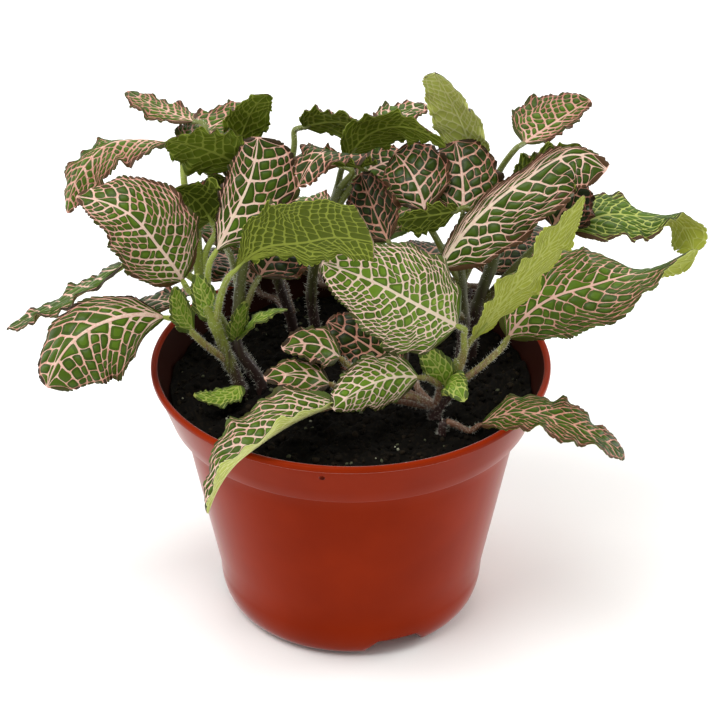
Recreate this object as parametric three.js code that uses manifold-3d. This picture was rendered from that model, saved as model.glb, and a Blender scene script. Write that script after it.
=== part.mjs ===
// A potted nerve plant: a plastic nursery pot of peat with a bushy, hairy-stemmed plant of net-veined leaves.
// Millimetres, +Z up. The origin is the centre of the pot's foot, and the leaves in front face -Y.
import * as THREE from 'three';
import { mergeVertices } from 'three/addons/utils/BufferGeometryUtils.js';
import Module from 'manifold-3d';

// Driving dimensions of the pot
const rimRadius = 60;
const potHeight = 82;
const wall = 1.3;
const collarHeight = 15.5;
const collarFootRadius = 54.6;
const bodyTopRadius = 51.2;
const bodyFootRadius = 40.4;
const footCurveHeight = 13;
const footRadius = 33.6;
const footRingInner = 28.5;
const footPadRadius = 13;
const footRise = 5.6;
const lipHeight = 1.6;
const lipOverhang = 0.5;
const lipInset = 0.7;
const lipRound = 0.8;
const shoulderDrop = 1.5;
const shoulderRise = 2.5;
const notchCount = 3;
const notchWidth = 17;
const notchHeight = 5;
const firstNotchAngle = THREE.MathUtils.degToRad(-69);
const drainHoleRadius = 3.6;
const drainHoleDistance = 23;
const potSides = 44;
const gateHoleRadius = 0.9;
const gateHoleDrop = 4.6;
const gateHoleAngle = THREE.MathUtils.degToRad(-98);

// Driving dimensions of the soil
const soilEdgeHeight = 73;
const soilCrown = 2.5;
const soilRoughness = 0.7;
const soilSides = 32;
const gap = 0.3;
const soilClearance = 0.5;

// Driving dimensions of the plant
const bladeThickness = 0.7;
const bladeRows = 10;
const smallBladeRows = 8;
const smallBladeWidth = 18;
const youngBladeRows = 5;
const toothDepth = 0.05;
const outlineFullness = 0.8;
const petioleRadius = 0.9;
const petioleLead = 4;
const rootDepth = 13;
const stemHoleTop = 80;
const stemSides = 6;
const petioleSides = 5;
const stepsPerPoint = 1.1;
const sliverSize = 0.08;

const potColour = 0x8f3115;
const soilColour = 0x17130f;
const stemColour = 0x6f6a35;
const leafColour = 0x3f6a24;
const potRoughness = 0.4;
const soilDullness = 0.95;
const stemRoughness = 0.6;
const leafRoughness = 0.55;

const wasm = await Module();
wasm.setup();

const plant = new THREE.Group();

function finish(colour, roughness) {
  return new THREE.MeshStandardMaterial({ color: colour, roughness, metalness: 0 });
}

function addPiece(name, geometry, colour, roughness) {
  const mesh = new THREE.Mesh(geometry, finish(colour, roughness));
  mesh.name = name;
  plant.add(mesh);
  return mesh;
}

// A closed three.js geometry as a solid that can be cut and joined, and back again
function toSolid(geometry) {
  const bare = geometry.clone();
  bare.deleteAttribute('normal');
  bare.deleteAttribute('uv');
  const merged = mergeVertices(bare, 1e-4);
  const triVerts = new Uint32Array(merged.index.array);
  const vertProperties = new Float32Array(merged.attributes.position.array);
  return new wasm.Manifold(new wasm.Mesh({ numProp: 3, vertProperties, triVerts }));
}

function toGeometry(solid) {
  const made = solid.getMesh();
  const geometry = new THREE.BufferGeometry();
  geometry.setAttribute('position', new THREE.BufferAttribute(made.vertProperties, 3));
  geometry.setIndex(new THREE.BufferAttribute(made.triVerts, 1));
  geometry.computeVertexNormals();
  return geometry;
}

const vec = ([x, y, z]) => new THREE.Vector3(x, y, z);

// The pot's outer radius at a height, under its collar
function bodyRadius(z) {
  if (z < footCurveHeight) {
    const turn = Math.acos(1 - z / footCurveHeight) / (Math.PI / 2);
    return footRadius + (bodyFootRadius - footRadius) * Math.sin(turn * Math.PI / 2) ** 0.8;
  }
  const rise = (z - footCurveHeight) / (potHeight - collarHeight - footCurveHeight);
  return bodyFootRadius + (bodyTopRadius - bodyFootRadius) * rise;
}

const collarBase = potHeight - collarHeight;

// The pot's inner radius at a height: the body's, a short shoulder, then the collar's
function insideRadius(z) {
  const shoulderFoot = collarBase - shoulderDrop;
  const shoulderTop = collarBase + shoulderRise;
  const body = bodyTopRadius - wall;
  const collar = collarFootRadius - wall;
  const foot = bodyFootRadius - wall;
  const mouth = rimRadius - wall - lipInset;
  const { mapLinear } = THREE.MathUtils;
  if (z <= shoulderFoot) return mapLinear(z, footCurveHeight, shoulderFoot, foot, body);
  if (z <= shoulderTop) return mapLinear(z, shoulderFoot, shoulderTop, body, collar);
  return mapLinear(z, shoulderTop, potHeight - lipRound, collar, mouth);
}

function makePot() {
  const outline = [];
  const corner = (r, z) => outline.push(new THREE.Vector2(r, z));
  // Underside: a central pad and the foot ring touch the ground, with a raised drainage channel between them
  corner(0, 0);
  corner(footPadRadius, 0);
  corner(footPadRadius + 2, footRise);
  corner(footRingInner - 2, footRise);
  corner(footRingInner, 0);
  for (const z of [0, 0.9, 2.6, 5.2, 8.6, footCurveHeight]) corner(bodyRadius(z), z);
  corner(bodyRadius(collarBase), collarBase);
  // Collar and its thin overhanging lip
  corner(collarFootRadius - 0.6, collarBase + 0.2);
  corner(collarFootRadius, collarBase + 0.9);
  corner(rimRadius - lipOverhang - 0.3, potHeight - lipHeight - 0.5);
  corner(rimRadius, potHeight - lipHeight);
  corner(rimRadius, potHeight - 0.4);
  corner(rimRadius - 0.5, potHeight);
  corner(rimRadius - wall - 0.3, potHeight);
  // Inside wall
  const insideLevels = [potHeight - lipRound, collarBase + shoulderRise, collarBase - shoulderDrop];
  for (const z of insideLevels) corner(insideRadius(z), z);
  corner(insideRadius(footCurveHeight), footCurveHeight);
  corner(footRadius - wall + 3, footRise + wall + 2);
  corner(footRadius - wall - 2, footRise + wall);
  corner(0, footRise + wall);
  const turned = new THREE.LatheGeometry(outline, potSides);
  turned.rotateX(Math.PI / 2);
  let pot = toSolid(turned);
  for (let i = 0; i < notchCount; i++) {
    const turn = firstNotchAngle + i * 2 * Math.PI / notchCount;
    pot = pot.subtract(toSolid(makeNotch(turn)));
    pot = pot.subtract(toSolid(makeDrainHole(turn)));
  }
  return toGeometry(pot.subtract(toSolid(makeGateHole())));
}

// A shallow arch through the foot ring, where water runs out
function makeNotch(turn) {
  const arch = new THREE.Shape();
  arch.moveTo(-notchWidth / 2, -1);
  arch.lineTo(notchWidth / 2, -1);
  arch.lineTo(notchWidth / 2, notchHeight * 0.45);
  arch.quadraticCurveTo(notchWidth / 2 - 1, notchHeight, notchWidth / 2 - 4, notchHeight);
  arch.lineTo(-notchWidth / 2 + 4, notchHeight);
  arch.quadraticCurveTo(-notchWidth / 2 + 1, notchHeight, -notchWidth / 2, notchHeight * 0.45);
  arch.closePath();
  const cut = new THREE.ExtrudeGeometry(arch, { depth: 22, bevelEnabled: false, curveSegments: 3 });
  cut.rotateX(Math.PI / 2);
  cut.translate(0, -footRingInner + 4 + 0.5, 0);
  cut.rotateZ(turn + Math.PI / 2);
  return cut;
}

function makeDrainHole(turn) {
  const cut = new THREE.CylinderGeometry(drainHoleRadius, drainHoleRadius, 12, 12);
  cut.rotateX(Math.PI / 2);
  cut.translate(drainHoleDistance * Math.cos(turn), drainHoleDistance * Math.sin(turn), footRise);
  return cut;
}

// The small moulding hole high in the collar
function makeGateHole() {
  const cut = new THREE.CylinderGeometry(gateHoleRadius, gateHoleRadius, 12, 10);
  cut.translate(0, -rimRadius, potHeight - gateHoleDrop);
  cut.rotateZ(gateHoleAngle + Math.PI / 2);
  return cut;
}

// The peat's rough surface, a little higher round the stems than at the wall
function soilHeight(x, y) {
  const edge = Math.hypot(x, y) / rimRadius;
  const lumps = Math.sin(x * 0.41 + 1.3) * Math.cos(y * 0.37 - 0.6) + 0.6 * Math.sin(x * 0.9 - y * 0.7);
  return soilEdgeHeight + soilCrown * (1 - edge * edge) + soilRoughness * lumps;
}

function makeSoil(stemHoles) {
  const surfaceRadius = insideRadius(soilEdgeHeight) - soilClearance;
  const outline = [];
  const corner = (r, z) => outline.push(new THREE.Vector2(r, z));
  corner(0, footRise + wall + gap);
  corner(footRadius - wall - 3, footRise + wall + gap);
  corner(insideRadius(footCurveHeight) - soilClearance, footCurveHeight + 1);
  corner(insideRadius(collarBase - 2) - soilClearance, collarBase - 2);
  corner(insideRadius(collarBase + 3) - soilClearance, collarBase + 3);
  corner(surfaceRadius, soilEdgeHeight);
  for (const share of [0.9, 0.75, 0.6, 0.45, 0.3, 0.15]) corner(surfaceRadius * share, soilEdgeHeight);
  corner(0, soilEdgeHeight);
  const body = new THREE.LatheGeometry(outline, soilSides);
  const place = body.attributes.position;
  for (let i = 0; i < place.count; i++) {
    if (place.getY(i) < soilEdgeHeight - 0.01) continue;
    const x = place.getX(i);
    const y = -place.getZ(i);
    place.setY(i, soilHeight(x, y));
  }
  body.rotateX(Math.PI / 2);
  return toGeometry(stemHoles.reduce((soil, hole) => soil.subtract(hole), toSolid(body)));
}

// A round stem or leaf stalk along a smooth curve through its points
function makeStem(points, radius, sides) {
  const ring = new THREE.Shape();
  for (let i = 0; i < sides; i++) {
    const turn = i / sides * 2 * Math.PI;
    ring[i ? 'lineTo' : 'moveTo'](radius * Math.cos(turn), radius * Math.sin(turn));
  }
  ring.closePath();
  const path = new THREE.CatmullRomCurve3(points.map(vec));
  const steps = Math.round(points.length * stepsPerPoint);
  return new THREE.ExtrudeGeometry(ring, { extrudePath: path, steps, curveSegments: 1 });
}

// The midrib: a smooth curve through a leaf's points, timed by the distance between them
function midribAt(points, t) {
  const knots = [0];
  for (let i = 1; i < points.length; i++) knots.push(knots[i - 1] + points[i].distanceTo(points[i - 1]));
  const steps = points.slice(1).map((p, i) => p.clone().sub(points[i]).divideScalar(knots[i + 1] - knots[i]));
  const slopes = [];
  for (let i = 1; i < points.length - 1; i++) {
    const before = knots[i] - knots[i - 1];
    const after = knots[i + 1] - knots[i];
    slopes[i] = steps[i].clone().multiplyScalar(before).addScaledVector(steps[i - 1], after);
    slopes[i].divideScalar(before + after);
  }
  const last = points.length - 1;
  slopes[0] = steps[0].clone().multiplyScalar(2).sub(slopes[1]);
  slopes[last] = steps[last - 1].clone().multiplyScalar(2).sub(slopes[last - 1]);
  const along = t * knots[last];
  let i = 0;
  while (i < last - 1 && along > knots[i + 1]) i++;
  const span = knots[i + 1] - knots[i];
  const u = (along - knots[i]) / span;
  const place = points[i].clone().multiplyScalar(2 * u ** 3 - 3 * u ** 2 + 1);
  place.addScaledVector(slopes[i], (u ** 3 - 2 * u ** 2 + u) * span);
  place.addScaledVector(points[i + 1], -2 * u ** 3 + 3 * u ** 2);
  place.addScaledVector(slopes[i + 1], (u ** 3 - u ** 2) * span);
  return place;
}

// The blade's breadth along the midrib, greatest at the share of its length given, fuller at a blunt tip
function leafOutline(t, broadest, blunt) {
  const power = Math.log(0.5) / Math.log(broadest);
  return Math.sin(Math.PI * Math.min(t, 1) ** power) ** (outlineFullness - blunt * t);
}

function facingAt(faces, t) {
  const at = t * (faces.length - 1);
  const i = Math.min(Math.floor(at), faces.length - 2);
  return faces[i].clone().lerp(faces[i + 1], at - i);
}

// A point of the blade: t runs from base to tip, s from the left margin (-1) over the midrib to the right (1)
function bladeAt(leaf, t, s) {
  const points = leaf.spine.map(vec);
  const step = 0.004;
  const place = midribAt(points, t);
  const ahead = midribAt(points, Math.min(t + step, 1));
  const forward = ahead.sub(midribAt(points, Math.max(t - step, 0))).normalize();
  const facing = facingAt(leaf.face.map(vec), t);
  const up = facing.addScaledVector(forward, -facing.dot(forward)).normalize();
  const side = forward.clone().cross(up);
  const left = s < 0;
  const half = leaf.width / 2 * leafOutline(t, leaf.broadest, leaf.blunt) * leaf.share[left ? 0 : 1];
  const fold = leaf.fold[left ? 0 : 1];
  const roll = leaf.roll[left ? 0 : 1];
  const out = Math.abs(s);
  const bend = Math.abs(roll) < 0.01 ? 0.01 : roll;
  const across = half * (Math.sin(fold + bend * out) - Math.sin(fold)) / bend;
  const lift = half * (Math.cos(fold) - Math.cos(fold + bend * out)) / bend;
  const ripple = out ** 2 * Math.sin(Math.PI * t) * Math.sin(t * 17 + leaf.phase + (left ? 0 : 2.4));
  place.addScaledVector(side, left ? -across : across);
  return place.addScaledVector(up, lift + ripple);
}

// A thin closed blade, split into the same triangles on both faces, with a toothed margin
function makeBlade(leaf, rows) {
  const columns = [-1, -0.5, 0, 0.5, 1];
  const wide = columns.length;
  const grid = [];
  for (let row = 0; row <= rows; row++) {
    const t = row / rows;
    const ends = row === 0 || row === rows;
    const tooth = row % 2 ? 1 + toothDepth : 1 - toothDepth;
    const line = (ends ? [0] : columns).map((s) => {
      const reach = Math.abs(s) === 1 ? s * tooth : s;
      const nudge = 0.01;
      const near = Math.min(Math.max(t, nudge), 1 - nudge);
      const onward = bladeAt(leaf, near + nudge, s * 0.9).sub(bladeAt(leaf, near - nudge, s * 0.9));
      const over = bladeAt(leaf, near, s * 0.9 + 0.1).sub(bladeAt(leaf, near, s * 0.9 - 0.1));
      const normal = over.cross(onward).normalize();
      const middle = bladeAt(leaf, t, reach);
      return [1, -1].map((face) => middle.clone().addScaledVector(normal, face * bladeThickness / 2));
    });
    grid.push(line);
  }
  const corners = [];
  const starts = grid.map((line) => {
    const start = corners.length;
    line.forEach((pair) => corners.push(...pair));
    return start;
  });
  const triangles = [];
  const both = (a, b, c) => {
    triangles.push([a, b, c], [a + 1, c + 1, b + 1]);
  };
  const rim = (a, b) => {
    triangles.push([b, a, a + 1], [b, a + 1, b + 1]);
  };
  const at = (row, column) => starts[row] + 2 * (grid[row].length === 1 ? 0 : column);
  for (let row = 0; row < rows; row++) {
    for (let column = 0; column < wide - 1; column++) {
      const [a, b] = [at(row, column), at(row, column + 1)];
      const [c, d] = [at(row + 1, column + 1), at(row + 1, column)];
      const lean = column < wide / 2 - 1;
      if (a === b) both(a, c, d);
      else if (c === d) both(a, b, c);
      else if (lean) both(a, b, c), both(a, c, d);
      else both(a, b, d), both(b, c, d);
    }
    rim(at(row + 1, 0), at(row, 0));
    rim(at(row, wide - 1), at(row + 1, wide - 1));
  }
  const geometry = new THREE.BufferGeometry();
  const flat = corners.flatMap((p) => [p.x, p.y, p.z]);
  geometry.setAttribute('position', new THREE.Float32BufferAttribute(flat, 3));
  geometry.setIndex(triangles.flat());
  geometry.computeVertexNormals();
  return geometry;
}

// Large leaves, each a solid of its own. spine: points on the midrib, base first. face: where the upper side
// looks, from base to tip. fold and roll: how far the left and right halves stand up at the midrib and bend
// on outwards. share: how much of its half of the width each half reaches. broadest: where along the midrib
// it is widest. blunt: how full its tip is.
const leaves = {
  leaf_left_1: {
    spine: [[-49, -10, 115], [-55, -14, 128], [-64, -16, 141], [-79, -10, 143]],
    face: [[0.2, -0.8, 0.5], [0.1, -0.8, 0.6], [-0.2, -0.5, 0.9]],
    width: 26, fold: [0.15, 0.15], roll: [-0.4, -0.4], share: [0.9, 1.12], blunt: 0.1,
  },
  leaf_left_2: {
    spine: [[-54, -14, 105], [-68, -21, 109], [-79, -27, 106], [-88, -32, 92]],
    face: [[-0.1, -0.8, 0.6], [-0.2, -0.9, 0.4]],
    width: 30, fold: [0.1, -0.4], roll: [-0.4, -0.3], share: [1.1, 0.7], broadest: 0.55, blunt: 0.4,
  },
  leaf_left_3: {
    spine: [[-67, 0, 115], [-76, 0, 108], [-87, 2, 100], [-103, 6, 90]],
    face: [[-0.2, 0.2, 0.95], [-0.1, 0.1, 0.95]],
    width: 23, fold: [0.2, 0.2],
  },
  leaf_left_4: {
    spine: [[-54, 18, 146], [-63, 14, 149], [-71, 9, 150], [-77.5, 5, 145], [-83, 2, 131]],
    face: [[0.1, 0.8, 0.6], [0, 0.5, 0.8], [-0.5, -0.2, 0.8], [-0.7, -0.4, 0.5]],
    width: 19, fold: [-0.6, 0.1], share: [0.9, 1],
  },
  leaf_left_5: {
    spine: [[-52, 2, 100], [-58, 10, 97], [-65, 18, 92]],
    face: [[-0.3, 0.1, 0.9], [-0.3, 0.1, 0.9]],
    width: 17, roll: [-0.4, -0.4],
  },
  leaf_left_6: {
    spine: [[-41.4, 8.6, 125], [-45.4, 6.6, 133], [-51.4, 0.6, 140]],
    face: [[0, 0.9, 0.2], [0, 0.9, 0.3]],
    width: 22, fold: [0.1, -0.9], roll: [-0.3, -0.4],
  },
  leaf_left_7: {
    spine: [[-38, 18, 116], [-38, 15, 128], [-40, 10, 140]],
    face: [[0.2, 0.9, 0.2], [0.1, 0.9, 0.4]],
    width: 15,
  },
  leaf_left_8: {
    spine: [[-39.5, -4, 121.4], [-34, -1, 132], [-29.3, 3, 141.5], [-27, 9, 152.5]],
    face: [[-0.2, -0.9, 0.3], [0, -0.9, 0.4]],
    width: 26, fold: [0.1, 0], roll: [-0.4, -0.3], share: [0.55, 1.1], broadest: 0.6, blunt: 0.45,
  },
  leaf_left_9: {
    spine: [[-34, -15, 121], [-25, -22.5, 133], [-13, -33, 140.8], [-3, -43, 148], [6.5, -50, 150.4]],
    face: [[-0.1, 0.9, 0.2], [0.2, 0.95, 0.1], [0.1, 0.95, 0.25]],
    width: 26.5, fold: [-0.3, 0], share: [0.45, 1.3], broadest: 0.69, blunt: 0.8,
  },
  leaf_left_10: {
    spine: [[-27, 5, 108], [-23, 12, 111], [-17, 21, 114]],
    face: [[0.1, -0.4, 0.9], [0.1, -0.5, 0.9]],
    width: 21, fold: [0.2, 0.2],
  },
  leaf_top_1: {
    spine: [[-46, 20, 152], [-56, 30, 151], [-67, 42, 151]],
    face: [[0.1, 0, 1], [0, 0.1, 1]],
    width: 13,
  },
  leaf_top_2: {
    spine: [[-50, 18, 146], [-40, 28, 147], [-30, 38, 149]],
    face: [[0, 0, 1], [0, 0, 1]],
    width: 18, fold: [0.2, 0.2],
  },
  leaf_top_3: {
    spine: [[-33, 12, 142], [-42, 8, 149], [-53, 2, 155]],
    face: [[0, 0.95, 0.2], [0, 0.9, 0.4]],
    width: 20,
  },
  leaf_top_4: {
    spine: [[-34, 18, 143], [-31, 17, 152], [-28, 14, 160], [-24, 10, 166]],
    face: [[0, 0.9, 0.2], [-0.3, 0.9, 0.2]],
    width: 13,
  },
  leaf_top_5: {
    spine: [[-14, 36, 142], [-5, 30, 147], [5, 22, 149]],
    face: [[0, 0.8, 0.4], [0, 0.8, 0.4]],
    width: 16,
  },
  leaf_top_6: {
    spine: [[-1, 25, 137], [5, 23, 146], [15, 17, 152], [28, 8, 150]],
    face: [[-0.4, 0.8, 0.3], [0, 0.9, 0.4], [0.2, 0.8, 0.6]],
    width: 17,
  },
  leaf_top_7: {
    spine: [[3, 12, 141], [-2, 6, 148], [-8, 0, 152], [-15, -6, 144]],
    face: [[0, 0.5, 0.8], [-0.2, 0, 1], [-0.7, -0.6, 0.5]],
    width: 20,
  },
  leaf_top_8: {
    spine: [[-3, 17, 139], [-10, 21, 140], [-16, 27, 137]],
    face: [[0, 0, 1], [-0.1, -0.1, 1]],
    width: 13,
  },
  leaf_top_9: {
    spine: [[38, 30, 131], [33.5, 26, 147], [28.5, 20, 161], [24.5, 14, 171]],
    face: [[0, 0.9, 0.2], [0, 0.9, 0.2], [0, 0.8, 0.5]],
    width: 16, fold: [-0.5, 0.1], blunt: 0.5,
  },
  leaf_top_10: {
    spine: [[8, 37, 143], [15, 43, 143], [23, 49, 143]],
    face: [[0, 0, 1], [0, 0, 1]],
    width: 13, fold: [0.2, 0.2],
  },
  leaf_middle_1: {
    spine: [[2, 21, 133], [10, 28, 134], [18, 35, 132]],
    face: [[0, -0.6, 0.8], [0, -0.6, 0.8]],
    width: 15, fold: [0.2, 0.2],
  },
  leaf_middle_2: {
    spine: [[33, 6, 129], [33, 12, 136], [31, 21, 145]],
    face: [[0, -0.8, 0.5], [0, -0.8, 0.5]],
    width: 23, blunt: 0.45,
  },
  leaf_middle_3: {
    spine: [[31, 3, 131.5], [22, -3, 133], [13.5, -7.5, 134]],
    face: [[0, 0.8, 0.2], [0, 0.8, 0.2]],
    width: 15, share: [0.6, 1],
  },
  leaf_middle_4: {
    spine: [[22, 5, 130], [19, 11, 137], [13, 21, 141]],
    face: [[0, -0.8, 0.5], [-0.1, -0.8, 0.5]],
    width: 22, broadest: 0.5, blunt: 0.4,
  },
  leaf_middle_5: {
    spine: [[11, -2, 124], [7, 4, 131], [3, 12, 139]],
    face: [[-0.6, -0.7, 0.4], [-0.6, -0.7, 0.5]],
    width: 18, fold: [0.3, 0.3],
  },
  leaf_middle_6: {
    spine: [[31, -24, 108], [18, -33, 121], [6, -38, 131], [-8, -38, 137]],
    face: [[0, -0.8, 0.5], [-0.1, -0.8, 0.6]],
    width: 30, fold: [0.15, 0.15], roll: [-0.4, -0.4],
  },
  leaf_middle_7: {
    spine: [[16, -12, 85], [5, -10, 93], [-7, -6, 99]],
    face: [[0.1, -0.7, 0.6], [0.1, -0.7, 0.6]],
    width: 22,
  },
  leaf_right_1: {
    spine: [[26, -3, 115], [34, 1, 126], [50, 6, 139], [67, 10, 146], [75, 8, 142]],
    face: [[-0.2, -0.8, 0.6], [-0.1, -0.8, 0.6], [0.1, -0.7, 0.7]],
    width: 27, roll: [-0.4, -0.3], share: [0.27, 1], blunt: 0.6,
  },
  leaf_right_2: {
    spine: [[60, 12, 121], [64, 14, 128], [69, 20, 133]],
    face: [[0, -0.8, 0.5], [0, -0.8, 0.5]],
    width: 18,
  },
  leaf_right_3: {
    spine: [[36, -20, 102], [46, -26, 121], [57, -32, 141], [65, -37, 158]],
    face: [[-0.4, 0.7, 0.4], [-0.3, 0.8, 0.3]],
    width: 22, share: [0.75, 0.55], blunt: 0.1,
  },
  leaf_right_4: {
    spine: [[65, 13, 119], [75, 17, 122], [88, 22, 119], [98, 24, 117], [103, 18, 109]],
    face: [[0, -0.3, 1], [0.1, -0.2, 1], [0.1, 0, 1], [0.3, 0.7, 0.7], [0.3, 0.9, 0.1]],
    width: 23, blunt: 0.5,
  },
  leaf_right_5: {
    spine: [[46, -16, 99], [57, -18, 113], [72, -15, 117], [88, -8, 118], [101, -2, 118]],
    face: [[0, -0.8, 0.6], [0.1, -0.8, 0.6], [0.1, -0.7, 0.7], [0, 0.5, 0.9], [-0.1, 0.9, 0.4]],
    width: 25, blunt: 0.55,
  },
  leaf_right_6: {
    spine: [[52, 35, 137], [61, 44, 139], [73, 54, 142]],
    face: [[0, -0.5, 0.9], [0, -0.4, 0.9]],
    width: 17, share: [1.4, 0.5], blunt: 0.35,
  },
  leaf_right_7: {
    spine: [[51, 35, 125], [58, 30, 134], [68, 25, 142]],
    face: [[0, 0.9, 0.3], [0, 0.8, 0.5]],
    width: 21, share: [1.15, 0.55],
  },
  leaf_front_1: {
    spine: [[-3, -36, 89], [-15, -43, 88], [-25, -50, 85], [-34, -56, 80], [-41, -62, 68]],
    face: [[-0.2, -0.4, 0.9], [-0.4, -0.4, 0.8], [-0.8, -0.4, 0.4]],
    width: 23, fold: [0.9, 0.4], roll: [0.2, -0.3], blunt: 0,
  },
  leaf_front_2: {
    spine: [[20, -28, 93], [10, -34, 96], [1, -40, 95], [-5, -44, 92]],
    face: [[0, -0.5, 0.9], [-0.1, -0.7, 0.7]],
    width: 17, fold: [-0.7, 0.2], roll: [-0.4, -0.3],
  },
  leaf_front_3: {
    spine: [[38, -30, 78], [49, -32, 83.5], [64, -36, 82], [80, -38, 72]],
    face: [[0, 0, 1], [0.2, 0, 1]],
    width: 20, fold: [0.2, 0.2], blunt: 0.4,
  },
  leaf_front_4: {
    spine: [[-3, -17, 93], [-11, -19, 99], [-20, -22, 99]],
    face: [[-0.1, -0.4, 0.9], [-0.3, -0.4, 0.9]],
    width: 14,
  },
  leaf_front_5: {
    spine: [[-6, -25, 89], [-15, -28, 94], [-25, -32, 95]],
    face: [[-0.1, -0.5, 0.9], [-0.3, -0.5, 0.9]],
    width: 12,
  },
  leaf_back_1: {
    spine: [[-8, 40, 99], [-16, 54, 105], [-27, 69, 96]],
    face: [[-0.2, 0.1, 1], [-0.3, 0.5, 0.8]],
    width: 25, roll: [-0.4, -0.4],
  },
  leaf_back_2: {
    spine: [[6, 40, 99], [12, 55, 107], [18, 72, 99]],
    face: [[0, 0.1, 1], [0.1, 0.5, 0.8]],
    width: 25, roll: [-0.4, -0.4],
  },
  leaf_back_3: {
    spine: [[41, 33, 93], [48, 43, 100], [60, 57, 96]],
    face: [[0.1, 0.1, 1], [0.3, 0.4, 0.8]],
    width: 33, roll: [-0.4, -0.4],
  },
  leaf_back_4: {
    spine: [[-28, 34, 100], [-43, 47, 106], [-59, 57, 98]],
    face: [[-0.1, 0.1, 1], [-0.3, 0.4, 0.8]],
    width: 26, roll: [-0.4, -0.4],
  },
  leaf_back_5: {
    spine: [[-10, 44, 86], [-15, 62, 87], [-19, 78, 76]],
    face: [[0, 0.1, 1], [0, 0.6, 0.8]],
    width: 24, roll: [-0.4, -0.4],
  },
  leaf_back_6: {
    spine: [[20, 44, 86], [27, 61, 87], [33, 76, 76]],
    face: [[0, 0.1, 1], [0.2, 0.6, 0.8]],
    width: 24, roll: [-0.4, -0.4],
  },
  leaf_back_7: {
    spine: [[50, 30, 84], [66, 41, 90], [82, 50, 81]],
    face: [[0.1, 0.1, 1], [0.3, 0.4, 0.8]],
    width: 25, roll: [-0.4, -0.4],
  },
  leaf_back_8: {
    spine: [[-30, 42, 84], [-41, 56, 87], [-53, 68, 79]],
    face: [[-0.1, 0.1, 1], [-0.3, 0.4, 0.8]],
    width: 23, roll: [-0.4, -0.4],
  },
};

// Small young leaves, each grown fast to the stem that it starts in
const youngLeaves = {
  young_left_1: {
    spine: [[-40, -8, 100], [-43, -9, 109], [-45, -9, 117]],
    face: [[0.2, -0.8, 0.5], [-0.2, -0.8, 0.5]],
    width: 8,
  },
  young_left_2: {
    spine: [[-33, -9, 79], [-39, -18, 80], [-46, -23, 84]],
    face: [[0, 0, 1], [0, -0.3, 1]],
    width: 9,
  },
  young_left_3: {
    spine: [[-46, -11, 99], [-50, -15, 109], [-51, -17, 117]],
    face: [[0.6, -0.7, 0.3], [0.6, -0.7, 0.3]],
    width: 8,
  },
  young_left_4: {
    spine: [[-34, -5, 91], [-33, -8, 100], [-31, -10, 108]],
    face: [[0.5, -0.8, 0.3], [0.5, -0.8, 0.3]],
    width: 7,
  },
  young_left_5: {
    spine: [[-34, -5, 91], [-28, -3, 98], [-19, 3, 98]],
    face: [[0, 0.3, 1], [0, 0.3, 1]],
    width: 8,
  },
  young_right_1: {
    spine: [[28, -24, 87], [25, -25, 95], [20, -25, 101]],
    face: [[0, -0.8, 0.5], [0, -0.8, 0.5]],
    width: 9,
  },
  young_right_2: {
    spine: [[28, -24, 86], [30, -30, 92], [33, -35, 89]],
    face: [[0, -0.5, 0.9], [0, -0.8, 0.5]],
    width: 9,
  },
};

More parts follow.
